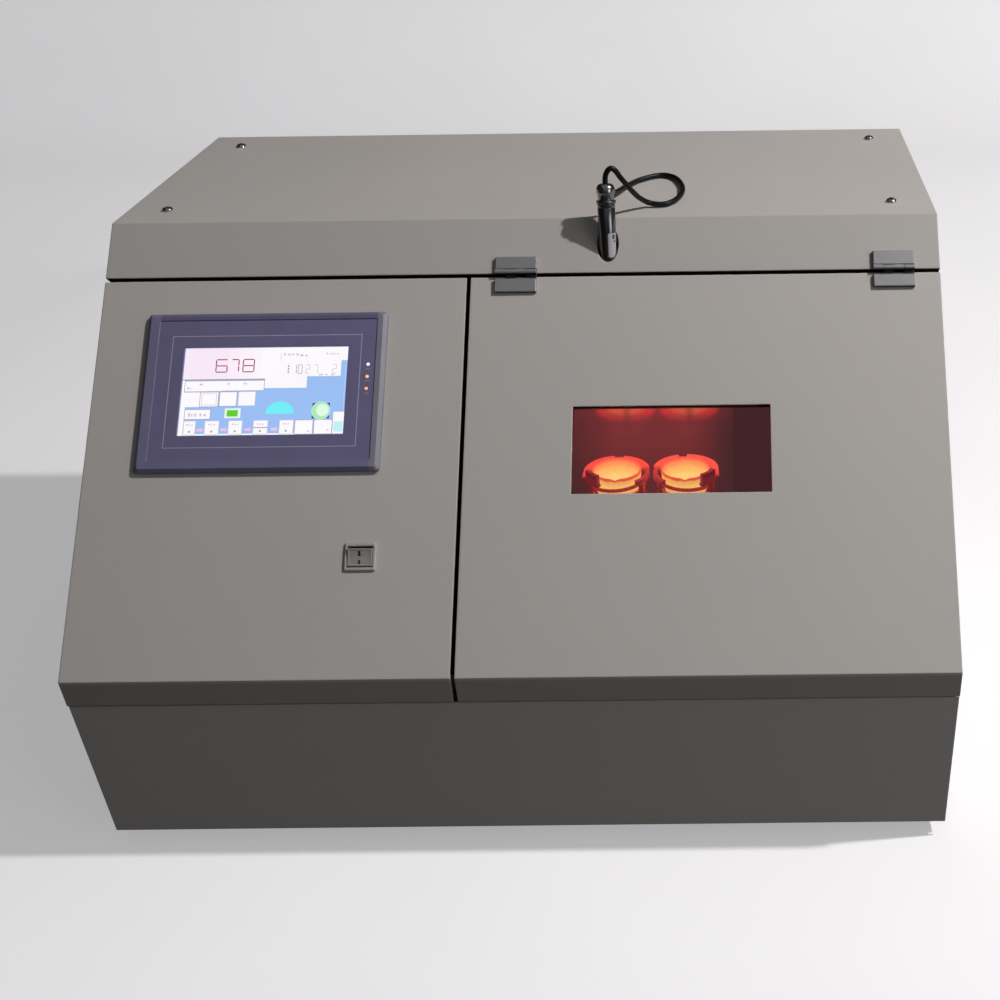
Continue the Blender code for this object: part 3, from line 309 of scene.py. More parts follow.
def bezel_plastic():
    """Dark bezel whose outer rim is a paler grey and whose top band is darker; the right-hand side is painted palest
    as a highlight.
    """
    m = Mat("bezel_plastic").bevel(0.0009, 4)
    g = m.noise(900.0, 2.0, 0.6)
    geo = m.n("NewGeometry")
    sep = m.n("SeparateXYZ")
    m.l(geo.outputs["Position"], sep.inputs[0])
    right = m.math("GREATER_THAN", sep.outputs[0], -0.1345)
    left = m.math("LESS_THAN", sep.outputs[0], -0.3395)
    low = m.math("LESS_THAN", sep.outputs[2], 0.3505)
    top = m.math("GREATER_THAN", sep.outputs[2], 0.4478)
    c = m.mix(top, (0.192, 0.180, 0.330, 1.0), (0.150, 0.140, 0.250, 1.0))
    c = m.mix(m.math("MAXIMUM", left, low), c, (0.205, 0.200, 0.320, 1.0))
    # painted highlight: the right-hand side is palest, as if lit from the right
    c = m.mix(right, c, (0.26, 0.255, 0.30, 1.0))
    m.set(base_color=m.mix(0.25, m.mix(1.0, c, m.ramp(m.noise(45.0, 4.0, 0.6), [(0.3, 0.93), (0.6, 1.0)]), "MULTIPLY"), m.ramp(g, [(0.3, 0.85), (0.6, 1.0)]), "MULTIPLY"),
          roughness=m.span(m.noise(70.0, 3.0), 0.3, 0.7, 0.42, 0.55))
    m.bump(g, 0.12, 0.00012)
    return m.done()


BEZEL = bezel_plastic()
BLACK = plastic("black_plastic", (0.03, 0.03, 0.032), (0.4, 0.55))
STEEL = metal("brushed_steel", (0.42, 0.41, 0.41), (0.3, 0.42), brush=(0.1, 1.0, 1.0))
# painted shade: the window frame is near-black, for the shade inside the window's edge
FRAME_STEEL = metal("frame_steel_painted_shade", (0.035, 0.033, 0.032), (0.5, 0.6), brush=(0.1, 1.0, 1.0), metallic=0.3)
SENSOR = metal("sensor_steel", (0.235, 0.235, 0.24), (0.15, 0.22), radius=0.0004)
SENSOR_HEAD = metal("sensor_head_steel", (0.42, 0.41, 0.41), (0.14, 0.24), radius=0.0004)
CABLE = plastic("cable_rubber", (0.005, 0.005, 0.0055), (0.34, 0.46), grain=1400.0, strength=0.1, spec=0.28)
COPPER = None
MODULE = coat("module_grey", (0.30, 0.31, 0.33), radius=0.001)
ALU = metal("aluminium", (0.60, 0.61, 0.62), (0.34, 0.46), brush=(1.0, 0.08, 1.0))
BRASS = metal("brass", (0.66, 0.49, 0.22), (0.2, 0.34), brush=(1.0, 0.1, 1.0))
SWITCH = plastic("switch_plastic", (0.50, 0.485, 0.46), (0.36, 0.48), grain=1100.0)


def glass(name):
    """Clear pane: passes light straight through, with a faint surface sheen."""
    m = Mat(name)
    out = m.nt.nodes["Material Output"]
    tr = m.n("BsdfTransparent")
    tr.inputs["Color"].default_value = (0.95, 0.93, 0.92, 1.0)
    m.set(base_color=(0.35, 0.33, 0.33, 1.0), roughness=m.span(m.noise(60.0, 4.0), 0.3, 0.7, 0.03, 0.08))
    m.bump(m.noise(25.0, 2.0), 0.02, 0.0002)
    m.done()
    mx = m.n("MixShader")
    lw = m.n("Fresnel")
    lw.inputs["IOR"].default_value = 1.12
    m.l(m.math("ADD", lw.outputs[0], m.span(m.noise(18.0, 5.0, 0.7), 0.55, 0.9, 0.0, 0.03)), mx.inputs[0])
    m.l(tr.outputs[0], mx.inputs[1])
    m.l(m.b.outputs[0], mx.inputs[2])
    m.l(mx.outputs[0], out.inputs["Surface"])
    m.m.use_transparency_overlap = True if hasattr(m.m, "use_transparency_overlap") else None
    return m.m


try:
    GLASS = glass("window_glass")
except Exception as err:
    print("glass", err)
    raise


def glow(name, stops, lo, hi, base=(0.5, 0.3, 0.25), rough=0.6, axis=2, strength=1.0, grain=380.0, grain_depth=0.10):
    """Emissive surface: a colour ramp along one local axis, with fine mottling; the porcelain and collars glow of
    their own heat, while the holder's dim glow is painted light.
    """
    m = Mat(name)
    sep = m.n("SeparateXYZ")
    m.l(m.tc.outputs["Object"], sep.inputs[0])
    wob = m.math("MULTIPLY_ADD", m.noise(120.0, 3.0), 0.0030, -0.0015)
    z = m.math("ADD", sep.outputs[axis], wob)
    f = m.span(z, lo * MM, hi * MM, 0.0, 1.0)
    c = m.ramp(f, stops, "EASE")
    g = m.ramp(m.noise(grain, 3.0, 0.6), [(0.3, 1.0 - grain_depth), (0.65, 1.0)])
    m.set(base_color=rgb(base), roughness=rough, emission_color=m.mix(1.0, c, g, "MULTIPLY"), emission_strength=strength)
    m.bump(m.noise(500.0, 2.0), 0.15, 0.0001)
    return m.done()


HOT_IN = glow("porcelain_inside", [(0.0, (1.0, 0.74, 0.26)), (0.30, (1.0, 0.70, 0.22)), (0.62, (0.99, 0.52, 0.14)), (0.86, (0.97, 0.30, 0.10)), (1.0, (0.92, 0.16, 0.08))], -26, -0.6, base=(0.05, 0.03, 0.02))
HOT_RIM = glow("porcelain_rim", [(0.0, (0.74, 0.10, 0.05)), (1.0, (0.86, 0.13, 0.07))], -3, 1, base=(0.05, 0.03, 0.02))
HOT_OUT = glow("porcelain_outside", [(0.0, (0.80, 0.10, 0.05)), (0.40, (1.0, 0.36, 0.10)), (0.72, (1.0, 0.62, 0.20)), (0.94, (0.97, 0.44, 0.12)), (1.0, (0.72, 0.10, 0.05))], -36, -1.6, base=(0.05, 0.03, 0.02))
COLLAR = glow("collar_ceramic", [(0.0, (0.55, 0.040, 0.040)), (0.55, (0.78, 0.070, 0.056)), (1.0, (0.90, 0.115, 0.078))], -4.2, 1.4, base=(0.06, 0.02, 0.02), grain_depth=0.08)
# painted light: the holder's faint red glow, brighter towards its top, stands in for the crucibles' light falling on
# it
HOLDER = glow("holder_ceramic", [(0.0, (0.10, 0.010, 0.012)), (0.7, (0.16, 0.015, 0.020)), (0.92, (0.20, 0.018, 0.026)), (1.0, (0.13, 0.014, 0.022))], -45, 3, base=(0.08, 0.04, 0.04))


def copper():
    m = Mat("coil_copper").bevel(0.0003, 4)
    line = m.noise(300.0, 4.0, 0.65)
    sep = m.n("SeparateXYZ")
    m.l(m.tc.outputs["Object"], sep.inputs[0])
    # painted light: a dull red glow on the copper, stronger towards the top, stands in for the crucibles' light
    # falling on the coil
    coil_painted_glow = m.ramp(m.span(sep.outputs[2], -40 * MM, -8 * MM, 0.0, 1.0), [(0.0, (0.05, 0.004, 0.005)), (0.7, (0.18, 0.016, 0.018)), (1.0, (0.30, 0.03, 0.030))])
    m.set(base_color=m.ramp(line, [(0.35, (0.30, 0.10, 0.06)), (0.6, (0.62, 0.30, 0.17))]), metallic=0.9, roughness=m.span(line, 0.3, 0.7, 0.22, 0.42),
          emission_color=coil_painted_glow, emission_strength=1.0)
    m.bump(line, 0.1, 0.0001)
    return m.done()


COPPER = copper()


def screen_mat(name, c, strength=1.0, rough=0.12):
    """Lit display area: fine pixel rows over an even colour."""
    m = Mat(name)
    w = m.n("TexWave", wave_type="BANDS", bands_direction="X")
    w.inputs["Scale"].default_value = 1600.0
    m.l(m.tc.outputs["Object"], w.inputs["Vector"])
    rows = m.ramp(w.outputs["Fac"], [(0.0, 0.97), (1.0, 1.0)])
    soft = m.ramp(m.noise(16.0, 2.0), [(0.3, 0.96), (0.7, 1.0)])
    col = m.mix(1.0, m.mix(1.0, rgb(c), rows, "MULTIPLY"), soft, "MULTIPLY")
    m.set(base_color=(0.02, 0.02, 0.025, 1.0), roughness=m.span(m.noise(80.0, 3.0), 0.3, 0.7, rough, rough + 0.06), emission_color=col, emission_strength=strength)
    return m.done()


def print_mat(name, c, rough=0.5, emit=0.0):
    """Printed mark: ink with a faint uneven edge."""
    m = Mat(name)
    m.set(base_color=m.ramp(m.noise(800.0, 2.0), [(0.3, rgb(c, 0.88)), (0.6, rgb(c))]), roughness=rough)
    m.bump(m.noise(1200.0, 1.0), 0.05, 0.00005)
    if emit:
        m.set(emission_color=rgb(c), emission_strength=emit)
    return m.done()


# ------------------------------------------------- carried CAD node finishes
by_finish = {
    COAT: ["base_front_panel", "side_panel_left", "side_panel_right", "rear_panel"],
    COAT_TOP: ["top_cover"],
    COAT_PANEL: ["control_panel"],
    COAT_DOOR: ["furnace_door"],
    COAT_IN: ["bottom_plate"],
    COAT_GAP_SHADE: ["front_frame", "partition_wall"],
    LINER: ["chamber_liner"],
    POLISH: ["reflector_plate"],
    SATIN: ["hinge_pin_left", "hinge_pin_right"],
    RUBBER: ["foot_front_left", "foot_front_right", "foot_rear_left", "foot_rear_right", "cable_bush"],
    BEZEL: ["hmi_bezel"],
    BLACK: ["hmi_rear_case", "cooling_fan_frame", "fan_rotor", "power_inlet"],
    GLASS: ["window_glass"],
    FRAME_STEEL: ["window_frame"],
    STEEL: ["carriage_bracket_left", "carriage_bracket_right", "carriage_shaft", "carriage_plate"],
    ALU: ["rocking_gearmotor", "power_supply"],
    MODULE: ["induction_generator", "controller_module"],
    BRASS: ["water_inlet", "water_outlet"],
    SWITCH: ["switch_bezel"],
}
for nm in ("hinge_leaf_left_fixed", "hinge_leaf_right_fixed", "hinge_leaf_left_door", "hinge_leaf_right_door"):
    by_finish[hinge_zinc_painted_shade(nm + "_zinc", NODES[nm].matrix_world.translation.copy(), nm.endswith("door"))] = [nm]
for mat, names in by_finish.items():
    for nm in names:
        ob = NODES[nm]
        ob.data.materials.clear()
        ob.data.materials.append(mat)


# ============================================================ mesh helpers
def piece(name, bm, mats, body, origin=(0, 0, 0), smooth=True, repl=(), lean=0.0):
    """A finished piece: mesh drawn in row-frame millimetres, riding on a CAD body."""
    o = Vector(origin)
    for v in bm.verts:
        v.co = (v.co - o) * MM
    bmesh.ops.recalc_face_normals(bm, faces=bm.faces[:])
    me = bpy.data.meshes.new(name)
    bm.to_mesh(me)
    bm.free()
    ob = bpy.data.objects.new(name, me)
    bpy.context.scene.collection.objects.link(ob)
    ob.location = o * MM
    ob.rotation_euler = (-lean, 0.0, 0.0)
    for m in (mats if isinstance(mats, (list, tuple)) else [mats]):
        me.materials.append(m)
    for p in me.polygons:
        p.use_smooth = smooth
    if smooth:
        try:
            me.set_sharp_from_angle(angle=math.radians(38))
        except AttributeError:
            pass
    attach(ob, body)
    if repl:
        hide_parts(*repl)
    return ob


def frame_of(d):
    d = Vector(d).normalized()
    h = Vector((1, 0, 0)) if abs(d.x) < 0.9 else Vector((0, 1, 0))
    a = (h - d * h.dot(d)).normalized()
    return a, d.cross(a), d


def lathe(base, d, prof, seg=64, radial=None, close=True, mat_of=None, bm=None):
    """Turned shape: prof is (distance, radius) points; radius 0 makes a pole.
    close=True joins the last point back to the first (a ring section)."""
    a, b, c = frame_of(d)
    base = Vector(base)
    bm = bm or bmesh.new()
    poles = {}
    rows = []
    for i in range(seg):
        t = 2 * math.pi * i / seg
        e = a * math.cos(t) + b * math.sin(t)
        row = []
        for k, (s, r) in enumerate(prof):
            if r <= 1e-9:
                if k not in poles:
                    poles[k] = bm.verts.new(base + c * s)
                row.append(poles[k])
            else:
                kk, dz = radial(t, s, r) if radial else (1.0, 0.0)
                row.append(bm.verts.new(base + c * (s + dz) + e * r * kk))
        rows.append(row)
    m = len(prof)
    last = m if close else m - 1
    for i in range(seg):
        p, q = rows[i], rows[(i + 1) % seg]
        for k in range(last):
            l = (k + 1) % m
            vs = []
            for v in (p[k], q[k], q[l], p[l]):
                if v not in vs:
                    vs.append(v)
            if len(vs) >= 3:
                f = bm.faces.new(vs)
                if mat_of:
                    f.material_index = mat_of(k)
    return bm


def loft(rings, bm=None, caps=True):
    bm = bm or bmesh.new()
    vr = [[bm.verts.new(p) for p in r] for r in rings]
    n = len(vr[0])
    for a, b in zip(vr[:-1], vr[1:]):
        for i in range(n):
            j = (i + 1) % n
            bm.faces.new((a[i], a[j], b[j], b[i]))
    if caps:
        bm.faces.new(list(reversed(vr[0])))
        bm.faces.new(vr[-1])
    return bm


def prism(poly, n0, n1, bm=None):
    return loft([[S(u, v, n0) for u, v in poly], [S(u, v, n1) for u, v in poly]], bm)


def rect(u0, u1, v0, v1):
    return [(u0, v0), (u1, v0), (u1, v1), (u0, v1)]


def spline(points, per):
    P = [Vector(p) for p in points]
    P = [P[0] * 2 - P[1]] + P + [P[-1] * 2 - P[-2]]
    out = []
    for i in range(1, len(P) - 2):
        for k in range(per):
            t = k / per
            a, b, c, d = P[i - 1], P[i], P[i + 1], P[i + 2]
            out.append(0.5 * ((2 * b) + (c - a) * t + (2 * a - 5 * b + 4 * c - d) * t * t + (3 * b - a - 3 * c + d) * t ** 3))
    out.append(P[-2])
    return out


def tube(path, r, seg=16, bm=None, radius=None):
    pts = [Vector(p) for p in path]
    rings = []
    prev = None
    for i, p in enumerate(pts):
        d = (pts[min(i + 1, len(pts) - 1)] - pts[max(i - 1, 0)]).normalized()
        if prev is None:
            a, b, _ = frame_of(d)
        else:
            a = (prev - d * prev.dot(d)).normalized()
            b = d.cross(a)
        prev = a
        rr = r if radius is None else radius(i / (len(pts) - 1))
        rings.append([p + (a * math.cos(2 * math.pi * k / seg) + b * math.sin(2 * math.pi * k / seg)) * rr for k in range(seg)])
    return loft(rings, bm)


# ================================================================ crucibles
STATION_X = (81.5, 151.5)
STATION_Y = -69.0
RIM_Z = 279.5
LEAN = math.radians(5.5)      # the carriage stands slightly back at rest


def smooth_profile(points, per=4):
    return [(p.x, p.y) for p in spline([Vector((a, b, 0)) for a, b in points], per)]


def crucible(name, x):
    outer = [(-36, 13.0), (-35.0, 14.2), (-28, 18.6), (-20, 22.2), (-9, 24.2), (-1.4, 25.1)]
    inner = [(-1.0, 23.2), (-10, 21.9), (-21, 19.4), (-29, 14.5), (-32.8, 9.0), (-33.4, 3.0)]
    o = smooth_profile(outer, 4)
    i = smooth_profile(inner, 4)
    rim = [(-0.5, 25.2), (0.1, 24.9), (0.25, 24.3), (0.0, 23.6)]
    prof = [(-36, 0.0)] + o + rim + i + [(-33.4, 0.0)]
    n_o, n_r = 1 + len(o), len(rim)

    def lip(t, s, r):
        d = abs((math.degrees(t) - 270.0 + 180.0) % 360.0 - 180.0)
        k = max(0.0, 1.0 - d / 11.0) ** 1.1 * max(0.0, min(1.0, (s + 9.0) / 8.0))
        return 1.0 + 0.05 * k, -1.3 * k

    def which(k):
        if k < n_o - 1:
            return 2
        if k < n_o + n_r:
            return 1
        return 0
    bm = lathe((x, STATION_Y, RIM_Z), (0, 0, 1), prof, 96, lip, close=False, mat_of=which)
    return piece(name + "_body", bm, [HOT_IN, HOT_RIM, HOT_OUT], name, (x, STATION_Y, RIM_Z), repl=(name,), lean=LEAN)


def arc_ring(bm, cx, cy, r0, r1, z0, z1, a0, a1, n, shape=None):
    """Part of a ring with eased edges; shape(t) scales (inner, outer, top) along it."""
    rings = []
    e = 0.5
    for i in range(n + 1):
        f = i / n
        t = math.radians(a0 + (a1 - a0) * f)
        c, s = math.cos(t), math.sin(t)
        ra, rb, zb = (r0, r1, z1) if shape is None else shape(f, math.degrees(t))
        sec = [(ra, z0), (rb, z0), (rb, zb - e), (rb - e, zb), (ra + e, zb), (ra, zb - e)]
        rings.append([Vector((cx + r * c, cy + r * s, z)) for r, z in sec])
    return loft(rings, bm)


def collar(name, x, mirror):
    z0, z1 = 275.4, (278.8 if not mirror else 279.7)
    a0, a1 = (12.0, 198.0) if not mirror else (-18.0, 168.0)
    notch = 90.0 if not mirror else 97.0
    half = 8.8 if not mirror else 7.6

    def shape(f, deg):
        top = z1
        if abs(deg - notch) < half:
            top = 277.3
        ra, rb = 26.6, 33.5
        # the outer end of the horseshoe flares out to a narrow, drooping point
        d = (a1 - deg) if not mirror else (deg - a0)
        if d < 13.0:
            ra = 30.2 if d < 11.0 else 30.2 - 3.6 * (d - 11.0) / 2.0
            rb = 33.5 + 2.2 * (1.0 - d / 13.0)
            ra += 3.0 * (1.0 - d / 13.0)
            top = z1 - 1.6 * (1.0 - d / 13.0)
        return ra, rb, top
    bm = arc_ring(None, x, STATION_Y, 26.6, 33.5, z0, z1, a0, a1, 186, shape)
    return piece(name + "_body", bm, COLLAR, "carriage", (x, STATION_Y, RIM_Z), smooth=True, repl=(name,), lean=LEAN)


def holder(name, x, mirror):
    base = 233.3
    bm = bmesh.new()
    lathe((x, STATION_Y, 0), (0, 0, 1), [(base, 9.0), (base, 21.4), (base + 0.6, 22.0), (base + 8.8, 22.0), (base + 9.4, 21.4), (base + 9.4, 9.0)], 64, bm=bm)
    for a in (38, 142, 218, 322):
        t = math.radians(a)
        d = Vector((math.cos(t), math.sin(t), 0))
        q = Vector((-d.y, d.x, 0))
        c = Vector((x, STATION_Y, 0))
        for ra, rb, za, zb, hw in ((21.5, 33.4, base + 0.6, base + 4.2, 2.6), (30.8, 33.6, base + 2.0, 274.0, 2.2)):
            e = 0.4
            sec = [(-hw, ra + e), (-hw + e, ra), (hw - e, ra), (hw, ra + e), (hw, rb - e), (hw - e, rb), (-hw + e, rb), (-hw, rb - e)]
            loft([[c + q * s + d * r + Vector((0, 0, z)) for s, r in sec] for z in (za, zb)], bm)

    def swing(p, q):
        return (p, q) if not mirror else (180.0 - q, 180.0 - p)
    for (p, q), ra, rb, za, zb, n in ((swing(-47.0, 240.0), 28.6, 33.5, 272.2, 275.0, 144), (swing(-47.0, 6.0), 28.65, 33.45, 273.0, 276.8, 30), (swing(205.0, 238.0), 28.75, 33.4, 273.0, 285.0, 20)):
        arc_ring(bm, x, STATION_Y, ra, rb, za, zb, p, q, n)
    return piece(name + "_body", bm, HOLDER, "carriage", (x, STATION_Y, RIM_Z), repl=(name,), lean=LEAN)


def coil(name, x, hand):
    r, R = 1.95, 27.7
    turns, seg = 2.5, 48
    z_a, z_b = 248.5, 269.7
    n = int(turns * seg)
    start = math.radians(90 + hand * 58)
    pts = []
    for i in range(n + 1):
        t = start + hand * 2 * math.pi * i / seg
        pts.append(Vector((x + R * math.cos(t), STATION_Y + R * math.sin(t), z_a + (z_b - z_a) * i / n)))
    return piece(name + "_tube", tube(pts, r, 16), COPPER, "carriage", (x, STATION_Y, RIM_Z), repl=(name,), lean=LEAN)


for i, side in enumerate(("left", "right")):
    x = STATION_X[i]
    crucible("crucible_" + side, x)
    collar("collar_" + side, x, i == 1)
    holder("holder_ring_" + side, x, i == 1)
    coil("coil_" + side, x, 1 if i == 0 else -1)

# ========================================================= temperature sensor
SP = Vector((81.5, -10.1, 497.9))
TILT = math.radians(12)
SD = Vector((0.0, math.sin(TILT), math.cos(TILT)))
body = lathe(SP, SD, [(-26, 5.5), (-26, 8.0), (-25.5, 8.5), (12.0, 8.5), (33.8, 8.5), (34.1, 8.3), (34.5, 8.3), (34.8, 8.5), (37.1, 8.5), (37.6, 8.1), (37.6, 5.5)], 96)
piece("pyrometer_tube", body, SENSOR, "cabinet", SP, repl=("pyrometer_body",))


def knurl(t, s, r):
    return (1.0 + 0.012 * (1 if math.sin(t * 36) > 0 else -1), 0.0) if 38.4 < s < 40.8 and r > 8.8 else (1.0, 0.0)


nut = lathe(SP, SD, [(38.0, 6.3), (38.0, 8.9), (38.5, 9.2), (40.7, 9.2), (41.2, 8.9), (41.2, 6.3)], 144, knurl)
piece("pyrometer_lock_ring", nut, SENSOR, "cabinet", SP, repl=("pyrometer_nut",))
gl = smooth_profile([(41.6, 7.4), (44.0, 7.6), (46.8, 8.2), (48.2, 8.9), (50.2, 9.0), (52.2, 8.8), (54.4, 7.8), (55.8, 6.5), (56.4, 5.4)], 3)
gland = lathe(SP, SD, [(38.0, 3.1), (38.0, 5.9), (41.6, 5.9)] + gl + [(56.4, 3.1)], 96)
piece("pyrometer_head", gland, SENSOR_HEAD, "cabinet", SP, repl=("pyrometer_gland",))

cable_pts = [SP + SD * 34, SP + SD * 46, SP + SD * 57, (82.2, 2.5, 560.6), (84.7, 3.0, 565.5), (87.9, 3.5, 567.2), (91.5, 4.5, 564.5), (95.5, 7.0, 557.4), (100.5, 11.5, 549.1),
             (105.3, 18.0, 540.1), (111.0, 27.0, 530.6), (118.9, 36.0, 522.6), (128.5, 36.4, 520.4), (138.2, 39.0, 520.2), (146.6, 52.0, 520.2), (151.4, 71.3, 520.2), (150.8, 93.5, 520.2),
             (144.5, 116.3, 520.2), (134.8, 127.6, 520.2), (125.4, 128.4, 520.2), (115.3, 122.4, 520.2), (105.5, 112.9, 520.2), (98.0, 101.5, 520.2), (93.0, 92.0, 520.3), (88.9, 80.5, 521.0),
             (85.5, 66.5, 523.4), (82.3, 58.2, 526.4), (79.7, 52.8, 525.6), (79.0, 51.5, 521.2), (79.0, 51.5, 512.0), (79.0, 51.5, 502.0), (79.0, 51.5, 492.0)]
piece("pyrometer_lead", tube(spline(cable_pts, 8), 2.58, 20), CABLE, "cabinet", repl=("pyrometer_cable",))

# small printed label wrapped on the tube, blank apart from two generic marks
LABEL = print_mat("label_film", (0.52, 0.50, 0.55), 0.35)
INK = print_mat("label_ink", (0.03, 0.03, 0.05), 0.5)


def wrap(s0, s1, a0, a1, r, name, mat, n=14):
    a, b, c = frame_of(SD)
    bm = bmesh.new()
    rows = []
    for rr in (r, r + 0.06):
        rows.append([[bm.verts.new(SP + c * s + (a * math.cos(math.radians(t)) + b * math.sin(math.radians(t))) * rr)
                      for t in (a0 + (a1 - a0) * k / n for k in range(n + 1))] for s in (s0, s1)])
    (i0, i1), (o0, o1) = rows
    for k in range(n):
        bm.faces.new((o0[k], o0[k + 1], o1[k + 1], o1[k]))
        bm.faces.new((i0[k], i1[k], i1[k + 1], i0[k + 1]))
        bm.faces.new((i0[k], i0[k + 1], o0[k + 1], o0[k]))
        bm.faces.new((i1[k], o1[k], o1[k + 1], i1[k + 1]))
    bm.faces.new((i0[0], o0[0], o1[0], i1[0]))
    bm.faces.new((i0[n], i1[n], o1[n], o0[n]))
    return piece(name, bm, mat, "cabinet", SP)


wrap(-12.0, 10.5, -82, -22, 8.53, "pyrometer_label", LABEL)
wrap(5.2, 9.2, -52, -34, 8.62, "pyrometer_label_mark_a", INK, 6)
wrap(2.0, 3.6, -44, -30, 8.62, "pyrometer_label_mark_b", INK, 6)


# ================================================================== screws
def screw(name, x, y):
    z = 517.13
    seg = 96
    dome = [(5.15, 0.35), (5.3, 0.8), (5.2, 1.35), (4.7, 2.2), (3.9, 2.95), (3.0, 3.35)]
    prof = [(0.35, 0.0), (0.35, 4.9)] + [(h, r) for r, h in dome] + [(3.38, 2.35), (2.9, 2.2), (1.2, 2.1), (1.0, 0.0)]

    def hexa(t, s, r):
        if r < 2.4 and s > 0.9:
            k = math.cos(math.pi / 6) / math.cos((t % (math.pi / 3)) - math.pi / 6)
            return k, 0.0
        return 1.0, 0.0
    bm = lathe((x, y, z), (0, 0, 1), prof, seg, hexa, close=False)
    lathe((x, y, z), (0, 0, 1), [(-8, 0.0), (-8, 1.9), (0.3, 1.9), (0.3, 0.0)], 32, close=False, bm=bm)
    return piece(name + "_head", bm, SCREW, "cabinet", (x, y, z), repl=(name,))


for nm, x, y in (("front_left", -360, 45), ("front_right", 360, 45), ("rear_left", -360, 262), ("rear_right", 360, 262)):
    screw("cover_screw_" + nm, x, y)

# ============================================================ screen graphics
C_BLUE = screen_mat("screen_blue", (0.33, 0.53, 0.93))
NODES["hmi_screen"].data.materials.clear()
NODES["hmi_screen"].data.materials.append(C_BLUE)
UI = {
    "white": (1.0, 0.97, 1.0), "pink": (0.96, 0.83, 0.96), "pink2": (0.97, 0.865, 0.97), "pink3": (0.98, 0.90, 0.98), "pink4": (0.99, 0.935, 0.99), "edge": (0.36, 0.33, 0.42), "red": (0.34, 0.012, 0.04), "green": (0.12, 0.62, 0.03),
    "pale": (0.85, 0.97, 0.80), "cyan": (0.17, 0.87, 0.93), "ball": (0.40, 0.86, 0.42), "ball2": (0.75, 0.97, 0.78), "dark": (0.03, 0.05, 0.10),
    "faint": (0.62, 0.58, 0.70), "sky": (0.55, 0.72, 1.0), "arrow": (0.90, 0.55, 0.80), "aqua": (0.55, 0.90, 0.95),
}
UI_KEYS = list(UI)
UI_MATS = [screen_mat("screen_" + k, c) for k, c in UI.items()]
DW, DH = 154.08, 85.92
SCU, SCV = -237.4, 266.8
ui = bmesh.new()


def uv_of(x, y):
    return SCU - DW / 2 + x * DW, SCV + DH / 2 - y * DH


def poly(pts, key, layer):
    vs = [ui.verts.new(S(*uv_of(x, y), 3.3 + 0.03 * layer)) for x, y in pts]
    f = ui.faces.new(vs)
    f.material_index = UI_KEYS.index(key)


def box(x0, y0, x1, y1, key, layer, edge=None):
    if edge:
        poly([(x0, y1), (x1, y1), (x1, y0), (x0, y0)], edge, layer)
        dx, dy = 0.55 / DW, 0.55 / DH
        x0, x1, y0, y1 = x0 + dx, x1 - dx, y0 + dy, y1 - dy
        layer += 0.5
    poly([(x0, y1), (x1, y1), (x1, y0), (x0, y0)], key, layer)


def marks(x0, y0, x1, y1, n, key, layer, h=0.5):
    """A row of short dashes standing for small illegible text."""
    w = (x1 - x0) / n
    for k in range(n):
        j = 0.25 * math.sin(k * 2.7 + x0 * 40)
        a = x0 + w * (k + 0.12)
        b = x0 + w * (k + 0.70 + j * 0.4)
        m0 = y0 + (y1 - y0) * (0.15 + 0.2 * abs(math.sin(k * 1.9)))
        box(a, m0, b, y1 - (y1 - y0) * 0.12, key, layer)


def seg7(ch, x0, y0, x1, y1, t, key, layer):
    on = {"0": "abcdef", "1": "bc", "2": "abged", "3": "abgcd", "6": "acdefg", "7": "abc", "8": "abcdefg"}[ch]
    ym = (y0 + y1) / 2
    a = DW / DH
    ty = t * a
    g = t * 0.35
    gy = g * a
    shapes = {
        "a": [(x0 + t, y0), (x1 - t, y0), (x1 - t * 0.55, y0 + ty * 0.5), (x1 - t, y0 + ty), (x0 + t, y0 + ty), (x0 + t * 0.55, y0 + ty * 0.5)],
        "d": [(x0 + t, y1 - ty), (x1 - t, y1 - ty), (x1 - t * 0.55, y1 - ty * 0.5), (x1 - t, y1), (x0 + t, y1), (x0 + t * 0.55, y1 - ty * 0.5)],
        "g": [(x0 + t, ym - ty / 2), (x1 - t, ym - ty / 2), (x1 - g, ym), (x1 - t, ym + ty / 2), (x0 + t, ym + ty / 2), (x0 + g, ym)],
        "f": [(x0, y0 + ty), (x0 + t, y0 + ty), (x0 + t, ym - ty / 2), (x0, ym - gy)],
        "b": [(x1 - t, y0 + ty), (x1, y0 + ty), (x1, ym - gy), (x1 - t, ym - ty / 2)],
        "e": [(x0, ym + gy), (x0 + t, ym + ty / 2), (x0 + t, y1 - ty), (x0, y1 - ty)],
        "c": [(x1 - t, ym + ty / 2), (x1, ym + gy), (x1, y1 - ty), (x1 - t, y1 - ty)],
    }
    for k in on:
        poly(list(reversed(shapes[k])), key, layer)


box(0.0, 0.0, 0.588, 0.365, "pink", 1)
box(0.27, 0.0, 0.34, 0.365, "pink2", 1.2)
box(0.34, 0.0, 0.41, 0.365, "pink3", 1.2)
box(0.41, 0.0, 0.47, 0.365, "pink4", 1.2)
box(0.47, 0.0, 0.588, 0.365, "white", 1.2)
box(0.585, 0.0, 1.0, 0.155, "white", 1)
box(0.0, 0.356, 0.50, 0.368, "edge", 2)
for ch, a, b in (("6", 0.192, 0.266), ("7", 0.286, 0.336), ("8", 0.356, 0.430)):
    seg7(ch, a, 0.128, b, 0.282, 0.0066, "red", 3)
marks(0.60, 0.062, 0.70, 0.098, 4, "faint", 3)
marks(0.70, 0.075, 0.76, 0.112, 2, "faint", 3)
marks(0.86, 0.062, 0.94, 0.092, 5, "faint", 3)
box(0.585, 0.07, 0.588, 0.15, "faint", 3)
box(0.588, 0.155, 0.958, 0.335, "white", 2)
for k in range(3):
    box(0.634, 0.205 + 0.034 * k, 0.642, 0.228 + 0.034 * k, "edge", 3)
